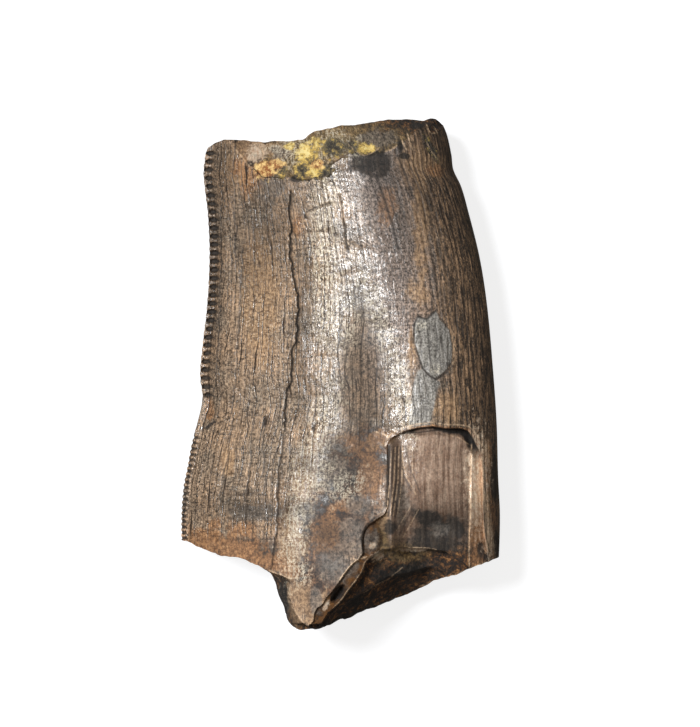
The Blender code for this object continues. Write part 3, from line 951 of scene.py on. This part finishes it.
LIP_LINES = [
    ([(386, 452), (386.5, 444), (389, 439), (394, 435), (404, 430), (415, 427), (432, 425), (444, 427),
      (460, 427.5), (468, 430), (473.5, 437), (478, 445), (483, 456), (485, 470)], 1.9, 0.75),
    ([(488, 444), (488, 468), (486, 496)], 3.2, 0.95),
    ([(486, 512), (489, 532), (493, 556)], 3.2, 0.95),
]
MARKS = tuple(SPOTS) + ("plate", "floor", "broken", "flank", "gold", "dark", "pale_line_and_lit_edge", "furrow", "grainy")


def spots_at(px, py, name):
    mark = np.zeros_like(px)
    for spot in SPOTS[name]:
        mark = np.maximum(mark, in_ellipse(px, py, spot))
    return mark


def lines_at(px, py, lines):
    mark = np.zeros_like(px)
    for line, half_width, strength in lines:
        near = smooth_step(half_width * 1.5, half_width * 0.3, line_distance(px, py, line))
        mark = np.maximum(mark, near * strength)
    return mark


def upper_marks(x, y, sheet):
    """How strongly each stain, kind of surface, painted highlight or painted shade shows at each place of
    the upper side.
    """
    px, py = to_px(x, y)
    left, right = crown_edges(y)
    share = (x - left) / (right - left)
    marks = {name: spots_at(px, py, name) for name in SPOTS}
    enamel = depth_in(px, py, ENAMEL_PX)
    bare = smooth_step(0.5, -0.5, enamel)
    strip = depth_in(px, py, STRIP_PX)
    plate = depth_in(px, py, PLATE_PX)
    marks["plate"] = smooth_step(-0.8, 0.8, np.maximum(plate, strip))
    window = smooth_step(*FLOOR_LEFT_PX, px) * smooth_step(*FLOOR_FOOT_PX, py)
    window *= smooth_step(*FLOOR_TOP_PX, py)
    marks["floor"] = bare * window
    marks["broken"] = bare * (1 - window)
    marks["flank"] = smooth_step(0.66, 0.92, share + 0.03 * noise(x, y, 2.0, 131)) * (1 - bare)
    first = side_of(px, py, BASE_LEDGES[0][0])
    between = smooth_step(*GOLD_LEFT_PX, px) * smooth_step(*GOLD_RIGHT_PX, px) * (py > GOLD_TOP_PX)
    marks["gold"] = bare * smooth_step(1.5, -1.0, first) * between
    dark = lines_at(px, py, DARK_LINES)
    for line, half_width, depth in jagged_cracks():
        near = smooth_step(half_width * 1.3, half_width * 0.2, line_distance(px, py, line))
        dark = np.maximum(dark, near * min(1.0, 0.45 + depth * 4))
    gap, _ = saw_gaps(x, y)
    dark = np.maximum(dark, smooth_step(0.15, 0.75, gap) * 0.9)
    dark = np.maximum(dark, saw_grooves(x, y) * 0.75)
    # painted shadow in the gap under the window's lip, widening to the right
    lip = line_distance(px, py, WINDOW_LIP_PX)
    shadow_reach = 3.0 + 5.5 * smooth_step(*LIP_SHADOW_WIDENS_PX, px) + 1.2 * noise(x, y, 0.7, 191)
    lip_shadow = bare * smooth_step(shadow_reach, shadow_reach - 2.0, lip) * smooth_step(*LIP_SHADOW_LEFT_PX, px)
    lip_shadow *= smooth_step(*LIP_SHADOW_FOOT_PX, py)
    dark = np.maximum(dark, lip_shadow)
    marks["dark"] = dark
    marks["pale_line_and_lit_edge"] = lines_at(px, py, PALE_AND_LIT_LINES)
    marks["orange"] = np.maximum(marks["orange"], lines_at(px, py, LIP_LINES))
    furrows = 1 - ribs(sheet[:, 0], y, RIB_PITCH, RIB_SEED)
    marks["furrow"] = smooth_step(0.2, 0.75, furrows)
    marks["grainy"] = smooth_step(0.52, 0.66, share) * smooth_step(0.88, 0.78, share) * smooth_step(-3, 3, y)
    return marks


def blank_marks(count):
    return {name: np.zeros(count) for name in MARKS}


def patches(x, y, size, seed, base, swing):
    return np.clip(base + swing * rough(x, y, size, seed), 0, 1)


def under_marks(x, y):
    marks = blank_marks(len(x))
    marks["orange"] = patches(x, y, 3.5, 141, 0.28, 0.35) * smooth_step(-4, -11, y)
    marks["ochre"] = patches(x, y, 4.5, 145, 0.2, 0.45)
    marks["grey"] = patches(x, y, 3.0, 149, 0.1, 0.5)
    marks["furrow"] = smooth_step(0.2, 0.75, 1 - ribs(x * 1.05, y, 0.5, 153)) * 0.7
    return marks


def band_marks(points, share, on_saw):
    x, y, z = points.T
    marks = blank_marks(len(x))
    marks["broken"] = np.where(on_saw, 0.0, 1.0)
    marks["pale_line_and_lit_edge"] = smooth_step(0.955, 0.985, share) * 0.7 * marks["broken"]
    marks["ochre"] = patches(x, z, 2.2, 161, 0.15, 0.5) * marks["broken"]
    at_tip = (y > 0) * smooth_step(0.4, 0.8, share)
    marks["crust"] = patches(x, z, 1.8, 165, 0.05, 0.6) * at_tip
    marks["rust"] = patches(x, z, 2.0, 169, 0.05, 0.5) * marks["broken"]
    marks["black"] = patches(x, z, 2.6, 173, 0.05, 0.6) * marks["broken"]
    marks["dark"] = smooth_step(0.6, 0.95, 0.5 + 0.5 * np.sin(z * 5 + 2 * noise(x, z, 1.5, 177))) * 0.3
    return marks


# One mesh from the three sheets

def grain_places(places, layer):
    return np.column_stack([places[:, 0], places[:, 1], np.full(len(places), layer)])


def build_crown():
    upper, under, band = sewn_mesh()
    upper_points, upper_faces, sheet_a = upper
    under_points, under_faces = under
    band_points, band_faces, sheet_c, share, on_saw = band

    points = np.concatenate([upper_points, under_points, band_points])
    firsts = (0, len(upper_points), len(upper_points) + len(under_points))
    faces = np.concatenate([upper_faces, under_faces[:, ::-1] + firsts[1], band_faces + firsts[2]])
    marks = [upper_marks(upper_points[:, 0], upper_points[:, 1], sheet_a),
             under_marks(under_points[:, 0], under_points[:, 1]),
             band_marks(band_points, share, on_saw)]
    marks = {name: np.concatenate([m[name] for m in marks]) for name in MARKS}
    sheets = (sheet_a, under_points[:, :2], sheet_c)
    grain = np.concatenate([grain_places(*pair) for pair in zip(sheets, GRAIN_LAYERS)])
    flat = np.concatenate([bake_places(*pair) for pair in zip(sheets, BAKE_PLACES)])

    keys = np.round(points / SEW_DISTANCE).astype(np.int64)
    _, first, merged = np.unique(keys, axis=0, return_index=True, return_inverse=True)
    merged = merged.reshape(-1)
    new_faces = merged[faces]
    whole = ((new_faces[:, 0] != new_faces[:, 1]) & (new_faces[:, 1] != new_faces[:, 2])
             & (new_faces[:, 2] != new_faces[:, 0]))
    new_faces, faces = new_faces[whole], faces[whole]

    mesh = bpy.data.meshes.new("tooth_crown_surface")
    mesh.vertices.add(len(first))
    mesh.vertices.foreach_set("co", (points[first] * MM).ravel())
    mesh.loops.add(new_faces.size)
    mesh.loops.foreach_set("vertex_index", new_faces.ravel())
    mesh.polygons.add(len(new_faces))
    mesh.polygons.foreach_set("loop_start", np.arange(0, new_faces.size, 3))
    mesh.update(calc_edges=True)
    uv = mesh.uv_layers.new(name="OFBake")
    uv.data.foreach_set("uv", flat[faces.ravel()].ravel())
    for name in MARKS:
        layer = mesh.attributes.new(name, "FLOAT", "POINT")
        layer.data.foreach_set("value", marks[name][first].astype(np.float32))
    layer = mesh.attributes.new("grain", "FLOAT_VECTOR", "POINT")
    layer.data.foreach_set("vector", grain[first].astype(np.float32).ravel())
    mesh.shade_smooth()
    mesh.set_sharp_from_angle(angle=math.radians(SHARP_ANGLE))
    crown = bpy.data.objects.new("tooth_crown_surface", mesh)
    bpy.context.scene.collection.objects.link(crown)
    mesh.validate()
    return crown


def bake_places(places, room):
    """Where a sheet lies on the square that its finish is baked to; room is a corner and a size."""
    low, high = places.min(axis=0), places.max(axis=0)
    share = (places - low) / (high - low)
    corner, size = room
    return np.array(corner) + share * np.array(size)


# Materials

class Graph:
    """Adds shader nodes to a material or a world and links them."""

    def __init__(self, owner):
        owner.use_nodes = True
        self.nodes = owner.node_tree.nodes
        self.links = owner.node_tree.links

    def put(self, socket, value):
        if isinstance(value, bpy.types.NodeSocket):
            self.links.new(value, socket)
        else:
            socket.default_value = value

    def node(self, kind, inputs=None, **settings):
        made = self.nodes.new(kind)
        for name, value in settings.items():
            setattr(made, name, value)
        for name, value in (inputs or {}).items():
            self.put(made.inputs[name], value)
        return made

    def math(self, operation, a, b=0.0):
        return self.node("ShaderNodeMath", {0: a, 1: b}, operation=operation).outputs[0]

    def times(self, a, b):
        return self.math("MULTIPLY", a, b)

    def plus(self, a, b):
        return self.math("ADD", a, b)

    def minus(self, a, b):
        return self.math("SUBTRACT", a, b)

    def largest(self, a, b):
        return self.math("MAXIMUM", a, b)

    def inverse(self, value):
        return self.minus(1.0, value)

    def swing(self, texture, amount):
        """A noise made into a change of up to half the amount either way."""
        return self.times(self.minus(texture, 0.5), amount)

    def mix(self, share, a, b, blend="MIX"):
        made = self.node("ShaderNodeMix", {"Factor": share}, data_type="RGBA", blend_type=blend)
        self.put(made.inputs[6], a)
        self.put(made.inputs[7], b)
        return made.outputs[2]

    def blend(self, share, a, b):
        made = self.node("ShaderNodeMix", {"Factor": share}, data_type="FLOAT")
        self.put(made.inputs[2], a)
        self.put(made.inputs[3], b)
        return made.outputs[0]

    def step(self, low, high, value, bottom=0.0, top=1.0):
        ends = {"From Min": low, "From Max": high, "To Min": bottom, "To Max": top}
        made = self.node("ShaderNodeMapRange", {"Value": value, **ends}, interpolation_type="SMOOTHSTEP")
        return made.outputs[0]

    def mark(self, name):
        return self.node("ShaderNodeAttribute", attribute_name=name).outputs["Fac"]

    def stretch(self, vector, scale):
        return self.node("ShaderNodeVectorMath", {0: vector, 1: scale}, operation="MULTIPLY").outputs[0]

    def noise(self, vector, scale, detail=3.0, roughness=0.55, distortion=0.0):
        made = self.node("ShaderNodeTexNoise", {"Vector": vector, "Scale": scale, "Detail": detail,
                                                "Roughness": roughness, "Distortion": distortion})
        return made.outputs["Fac"]

    def shaded(self, colour, value):
        """A colour times a grey value."""
        grey = self.node("ShaderNodeCombineColor", {0: value, 1: value, 2: value}).outputs[0]
        return self.mix(1.0, colour, grey, "MULTIPLY")

    def ramp(self, value, stops):
        """A colour that runs through screen tones, each given with its position."""
        made = self.node("ShaderNodeValToRGB", {"Fac": value})
        elements = made.color_ramp.elements
        while len(elements) < len(stops):
            elements.new(0.5)
        for element, (position, screen_tone) in zip(elements, stops):
            element.position = position
            element.color = tone(*screen_tone)
        return made.outputs["Color"]

    def two_tone(self, texture, first, second, low=0.34, high=0.66):
        """A colour that swings between two screen tones with a noise."""
        return self.mix(self.step(low, high, texture), tone(*first), tone(*second))


class CrownGraph(Graph):
    """A graph with the textures and marks that all parts of the crown's finish share."""

    def __init__(self, owner):
        super().__init__(owner)
        self.grain = self.node("ShaderNodeAttribute", attribute_name="grain").outputs["Vector"]
        place = self.stretch(self.node("ShaderNodeTexCoord").outputs["Object"], (1 / MM, 1 / MM, 1 / MM))
        self.cloud = self.noise(place, 0.40, 4.0)
        self.patch = self.noise(place, 1.5, 5.0, 0.70)
        self.lumps = self.noise(place, 2.6, 5.0, 0.75)
        self.streak = self.grained(3.6, 0.35, 4.0, 0.6)
        self.hair = self.grained(8.0, 1.0, 3.0, 0.6)
        self.pepper = self.grained(4.6, 4.0, 4.0, 0.80)
        self.grit = self.grained(6.6, 5.0, 3.0)
        self.speck = self.grained(9.5, 8.0, 2.0, 0.6)
        self.grains = self.times(self.plus(self.speck, self.pepper), 0.5)
        self.rubble = self.plus(self.lumps, self.swing(self.pepper, 0.5))
        rough_streak = self.plus(self.streak, self.swing(self.pepper, 0.6))
        self.rough_streak = self.plus(rough_streak, self.swing(self.speck, 0.45))
        self.pits = self.step(0.47, 0.38, self.grit)
        self.flank = self.mark("flank")
        self.broken = self.mark("broken")
        self.floor = self.mark("floor")
        self.grainy = self.mark("grainy")
        self.mottle = self.stain("mottle", 1.0, 0.20)

    def grained(self, across, along_crown, detail, roughness=0.55, distortion=0.0):
        """A noise that lies along the grain; the first two say how fine it is per millimetre."""
        vector = self.stretch(self.grain, (across, along_crown, 1.0))
        return self.noise(vector, 1.0, detail, roughness, distortion)

    def stain(self, name, ragged, edge, strength=1.0, texture=None):
        """How strongly a stain shows; a texture makes its rim ragged, the patches if none is given."""
        if texture is None:
            texture = self.patch
        amount = self.plus(self.mark(name), self.swing(texture, ragged))
        return self.times(self.step(0.5 - edge, 0.5 + edge, amount), strength)

    def long_lines(self, per_mm, width, strength):
        """Thin lines along the crown, evenly spaced on the whole; they wander, fade out and come back."""
        wander = self.times(self.grained(0.8, 0.20, 2.0), 1.2)
        wiggle = self.times(self.noise(self.stretch(self.grain, (3.0, 1.4, 1.0)), per_mm / 3, 2.0), 0.16)
        across = self.node("ShaderNodeSeparateXYZ", {0: self.grain}).outputs["X"]
        across = self.plus(self.plus(across, wander), wiggle)
        away = self.math("PINGPONG", self.times(across, per_mm), 0.5)
        showing = self.step(0.40, 0.54, self.grained(per_mm, 0.14, 2.0), 0.18, strength)
        return self.times(self.step(width, width * 0.25, away), showing)

    def cross_lines(self, width):
        """Long thin wandering lines: 1 where a noise crosses its middle value."""
        away = self.math("ABSOLUTE", self.minus(self.grained(1.1, 3.2, 3.0, 0.45), 0.5))
        return self.step(width, width * 0.15, away)


ENAMEL_IOR = 1.63


def tone(red, green, blue):
    """A linear colour from the 8-bit screen tone it should look like."""
    def linear(value):
        value = value / 255.0
        return value / 12.92 if value <= 0.04045 else ((value + 0.055) / 1.055) ** 2.4
    return (linear(red), linear(green), linear(blue), 1.0)


def fine_lines(g):
    """Dark lines along and across the enamel, and the furrows between its ribs."""
    lines = g.largest(g.long_lines(2.4, 0.12, 1.0), g.long_lines(5.3, 0.16, 0.75))
    lines = g.largest(lines, g.times(g.cross_lines(0.032), g.step(0.44, 0.60, g.cloud, 0.15, 0.70)))
    lines = g.times(lines, g.inverse(g.times(g.mottle, 0.75)))
    furrow = g.times(g.mark("furrow"), g.plus(g.times(g.flank, 0.75), 0.05))
    furrow = g.times(furrow, g.step(0.42, 0.58, g.streak, 0.35, 1.0))
    lines = g.largest(lines, furrow)
    lines = g.times(lines, g.inverse(g.times(g.grainy, 0.6)))
    return g.times(lines, g.inverse(g.largest(g.broken, g.floor)))


def flank_tone(g):
    """The bark-like right side."""
    bark = g.plus(g.grained(3.0, 0.8, 5.0, 0.72, 0.9), g.swing(g.grains, 0.8))
    colour = g.two_tone(bark, (20, 16, 13), (173, 140, 108), 0.40, 0.63)
    return g.shaded(colour, g.step(0.34, 0.66, g.patch, 0.66, 1.16))


def enamel_tone(g):
    """The brown enamel with its mottled and grainy places and the right side."""
    brown = g.two_tone(g.cloud, (181, 151, 122), (155, 139, 121), 0.38, 0.62)
    brown = g.mix(g.step(0.35, 0.68, g.patch), brown, tone(156, 133, 111))
    brown = g.mix(g.mottle, brown, g.ramp(g.patch, [(0.36, (40, 35, 35)), (0.46, (78, 56, 42)),
                                                    (0.53, (126, 88, 60)), (0.64, (176, 144, 108))]))
    shade = g.plus(g.step(0.30, 0.70, g.streak, 0.68, 1.16), g.step(0.3, 0.7, g.hair, -0.14, 0.14))
    shade = g.plus(shade, g.step(0.38, 0.64, g.pepper, -0.50, 0.46))
    shade = g.plus(shade, g.step(0.32, 0.68, g.speck, -0.34, 0.34))
    grainy_tone = g.two_tone(g.grains, (46, 40, 39), (194, 178, 170), 0.40, 0.60)
    colour = g.mix(g.times(g.grainy, 0.80), g.shaded(brown, shade), grainy_tone)
    return g.mix(g.times(g.flank, 0.92), colour, flank_tone(g))


def floor_tone(g):
    """The floor of the window, with fine lines along the crown."""
    striae = g.grained(6.0, 0.34, 4.0, 0.65, 0.7)
    colour = g.ramp(striae, [(0.36, (80, 60, 49)), (0.47, (148, 122, 104)), (0.55, (168, 144, 126)),
                             (0.66, (210, 186, 164))])
    colour = g.mix(0.45, colour, g.two_tone(g.patch, (126, 98, 80), (184, 158, 138)))
    worn = g.plus(g.step(0.36, 0.66, g.pepper, 0.70, 1.08), g.step(0.32, 0.68, g.speck, -0.10, 0.22))
    return g.shaded(colour, worn)


def add_breaks(g, colour):
    """Lays the stone of the two breaks over a colour."""
    colour = g.mix(g.broken, colour, g.ramp(g.rubble, [(0.38, (12, 7, 4)), (0.48, (46, 30, 18)),
                                                       (0.56, (98, 64, 34)), (0.70, (190, 136, 80))]))
    olive = g.math("MINIMUM", g.stain("olive", 0.8, 0.30, 0.9), g.broken)
    colour = g.mix(olive, colour, g.two_tone(g.pepper, (62, 50, 30), (182, 152, 104)))
    return g.mix(g.mark("gold"), colour, g.two_tone(g.lumps, (52, 31, 8), (128, 82, 26)))


# Stains in the order that they lie, two of them partly painted highlight and sheen: name, ragged, edge and
# strength as stain takes them, the textures of the rim and of the tones, the two tones, and where one turns
# into the other
STAINS = [
    ("ochre", 1.1, 0.16, 0.75, "patch", "pepper", (122, 92, 66), (214, 178, 138), 0.34, 0.66),
    ("orange", 1.6, 0.22, 0.74, "patch", "pepper", (106, 69, 43), (212, 159, 110), 0.34, 0.66),
    ("black", 1.1, 0.16, 0.92, "patch", "rough_streak", (3, 3, 3), (66, 58, 50), 0.44, 0.66),
    # slate grey, partly painted sheen on the window's left wall and low in the window
    ("grey", 1.4, 0.18, 0.70, "patch", "pepper", (60, 57, 55), (156, 146, 135), 0.34, 0.66),
    # whitish tone, partly the stone's own and partly painted highlight and painted brightness of lit faces
    ("pale_and_lit", 1.5, 0.18, 0.85, "lumps", "pepper", (206, 168, 138), (255, 240, 216), 0.34, 0.66),
]


def add_stains(g, colour):
    for name, ragged, edge, strength, rim, texture, first, second, low, high in STAINS:
        share = g.stain(name, ragged, edge, strength, getattr(g, rim))
        colour = g.mix(share, colour, g.two_tone(getattr(g, texture), first, second, low, high))
    return colour


def add_plate(g, colour):
    texture = g.plus(g.times(g.grains, 0.8), g.times(g.hair, 0.2))
    return g.mix(g.mark("plate"), colour, g.two_tone(texture, (62, 62, 62), (192, 188, 180), 0.36, 0.64))


def add_glints_and_specks(g, colour):
    """Painted highlight: bright grains along the highlight and on the tongue; at the tip and by the plate
    they are whitish specks of the stone.
    """
    texture = g.largest(g.pepper, g.times(g.plus(g.hair, g.speck), 0.5))
    bright_grains = g.times(g.step(0.50, 0.60, texture), 0.80)
    return g.mix(g.times(bright_grains, g.stain("painted_glint_and_speck", 1.6, 0.30)), colour, tone(240, 231, 208))


def add_dirt_and_shade(g, colour, lines):
    """Darkens dirty places and places of painted shade, and mottled places, and fills pits and lines."""
    darkening = g.minus(g.inverse(g.times(g.mark("dirt_and_shade"), 0.58)), g.times(g.mottle, 0.19))
    colour = g.shaded(colour, darkening)
    pitted = g.times(g.pits, g.plus(g.times(g.grainy, 0.40), 0.26))
    colour = g.mix(pitted, colour, tone(50, 41, 35))
    return g.mix(lines, colour, tone(46, 35, 27))


def add_crust(g, colour):
    """Mineral crust: yellow and green where it is marked so, grey elsewhere, and rust."""
    hue = g.plus(g.lumps, g.times(g.minus(g.mark("yellow"), g.mark("green")), 0.16))
    hue = g.plus(hue, g.times(g.minus(g.pepper, 0.42), 0.4))
    crust = g.ramp(hue, [(0.36, (46, 42, 36)), (0.46, (102, 94, 72)), (0.54, (172, 146, 84)),
                         (0.62, (234, 200, 108)), (0.74, (252, 234, 164))])
    colour = g.mix(g.stain("crust", 1.2, 0.14, 0.95, g.lumps), colour, crust)
    rust = g.two_tone(g.rubble, (156, 92, 44), (255, 218, 148), 0.42, 0.62)
    return g.mix(g.stain("rust", 1.4, 0.12, 0.9, g.lumps), colour, rust)


def add_drawn_lines(g, colour):
    colour = g.mix(g.mark("dark"), colour, tone(20, 14, 10))
    # whitish lines, partly worn rims and partly painted brightness of lit edges and faces
    lit_share = g.times(g.mark("pale_line_and_lit_edge"), g.step(0.36, 0.60, g.pepper))
    return g.mix(lit_share, colour, tone(236, 204, 168))


def finish_roughness(g, crusted):
    shine = g.blend(g.pits, g.step(0.3, 0.7, g.hair, 0.19, 0.31), 0.50)
    shine = g.blend(g.stain("matte", 1.0, 0.25, 0.9), shine, 0.80)
    shine = g.blend(g.flank, shine, 0.60)
    shine = g.blend(g.broken, shine, 0.88)
    dull = g.largest(g.largest(g.mark("dark"), crusted), g.stain("black", 0.9, 0.14, 0.8))
    return g.blend(dull, shine, 0.92)


def fine_relief(g, lines, crusted):
    """The height of the grain in millimetres."""
    height = g.times(g.hair, 0.005)
    for texture, tall in ((g.streak, 0.012), (g.grit, 0.022), (g.speck, 0.010)):
        height = g.plus(height, g.times(texture, tall))
    height = g.minus(height, g.times(lines, 0.014))
    rocky = g.largest(g.broken, crusted)
    return g.plus(height, g.times(g.times(g.lumps, rocky), 0.30))


def fossil_enamel():
    material = bpy.data.materials.new("fossil_enamel_surface")
    g = CrownGraph(material)
    lines = fine_lines(g)
    crusted = g.stain("crust", 1.2, 0.12, 1.0, g.lumps)
    colour = g.mix(g.floor, enamel_tone(g), floor_tone(g))
    colour = add_stains(g, add_breaks(g, colour))
    colour = add_glints_and_specks(g, add_plate(g, colour))
    colour = add_crust(g, add_dirt_and_shade(g, colour, lines))
    colour = add_drawn_lines(g, colour)

    shader = g.nodes["Principled BSDF"]
    g.put(shader.inputs["Base Color"], colour)
    g.put(shader.inputs["Roughness"], finish_roughness(g, crusted))
    shader.inputs["IOR"].default_value = ENAMEL_IOR
    height = fine_relief(g, lines, crusted)
    bump = g.node("ShaderNodeBump", {"Height": height, "Strength": 1.0, "Distance": MM})
    g.put(shader.inputs["Normal"], bump.outputs[0])
    return material


def plain_material(name, colour, roughness, lit_share):
    material = bpy.data.materials.new(name)
    material.use_nodes = True
    shader = material.node_tree.nodes["Principled BSDF"]
    shader.inputs["Base Color"].default_value = colour
    shader.inputs["Roughness"].default_value = roughness
    shader.inputs["Emission Color"].default_value = (1.0, 1.0, 1.0, 1.0)
    shader.inputs["Emission Strength"].default_value = lit_share
    return material


# The studio

FLOOR_HALF = 3000.0
CAMERA_HEIGHT = 1000.0
SENSOR = 36.0
FOCUS_HEIGHT = 4.5               # the level where one pixel is PIXEL wide
KEY_DIRECTION = (-0.34, 0.20, 1.0)
KEY_STRENGTH = 3.2
KEY_ANGLE = 12.0
WORLD_COLOUR = (1.0, 0.93, 0.84, 1.0)
WORLD_TOWARDS = (-0.35, 0.20, 0.9)
WORLD_STRENGTH = (0.10, 0.42)    # away from the bright side and towards it
FLOOR_COLOUR = (0.29, 0.30, 0.32, 1.0)
FLOOR_GLOW = 0.80
FLOOR_ROUGHNESS = 0.9


def add_floor():
    mesh = bpy.data.meshes.new("floor")
    h = FLOOR_HALF * MM
    mesh.from_pydata([(-h, -h, 0), (h, -h, 0), (h, h, 0), (-h, h, 0)], [], [(0, 1, 2, 3)])
    floor = bpy.data.objects.new("floor", mesh)
    floor.visible_diffuse = False
    floor.visible_glossy = False
    mesh.materials.append(plain_material("floor_paper", FLOOR_COLOUR, FLOOR_ROUGHNESS, FLOOR_GLOW))
    bpy.context.scene.collection.objects.link(floor)
    return floor


def add_sun(name, direction, strength, angle):
    data = bpy.data.lights.new(name, "SUN")
    data.energy = strength
    data.angle = math.radians(angle)
    sun = bpy.data.objects.new(name, data)
    sun.rotation_mode = "QUATERNION"
    sun.rotation_quaternion = Vector(direction).to_track_quat("Z", "Y")
    bpy.context.scene.collection.objects.link(sun)


def add_world():
    world = bpy.data.worlds.new("studio")
    g = Graph(world)
    direction = g.node("ShaderNodeTexCoord").outputs["Generated"]
    facing = g.node("ShaderNodeVectorMath", {0: direction, 1: WORLD_TOWARDS}, operation="DOT_PRODUCT")
    background = g.nodes["Background"]
    background.inputs["Color"].default_value = WORLD_COLOUR
    g.put(background.inputs["Strength"], g.step(-0.3, 0.9, facing.outputs["Value"], *WORLD_STRENGTH))
    bpy.context.scene.world = world


def add_camera():
    data = bpy.data.cameras.new("camera")
    data.sensor_width = SENSOR
    data.lens = SENSOR * CAMERA_HEIGHT / (PHOTO_LONG_SIDE * PIXEL)
    data.clip_end = 4 * CAMERA_HEIGHT * MM
    camera = bpy.data.objects.new("camera", data)
    across, up = to_mm(*PHOTO_MIDDLE_PX)
    camera.location = (across * MM, up * MM, (FOCUS_HEIGHT + CAMERA_HEIGHT) * MM)
    bpy.context.scene.collection.objects.link(camera)
    bpy.context.scene.camera = camera


crown = build_crown()
crown.data.materials.append(fossil_enamel())
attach(crown, "root")
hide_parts("tooth_crown")

add_floor()
add_sun("key_light", KEY_DIRECTION, KEY_STRENGTH, KEY_ANGLE)
add_world()
add_camera()
bpy.context.scene.view_settings.view_transform = "Standard"
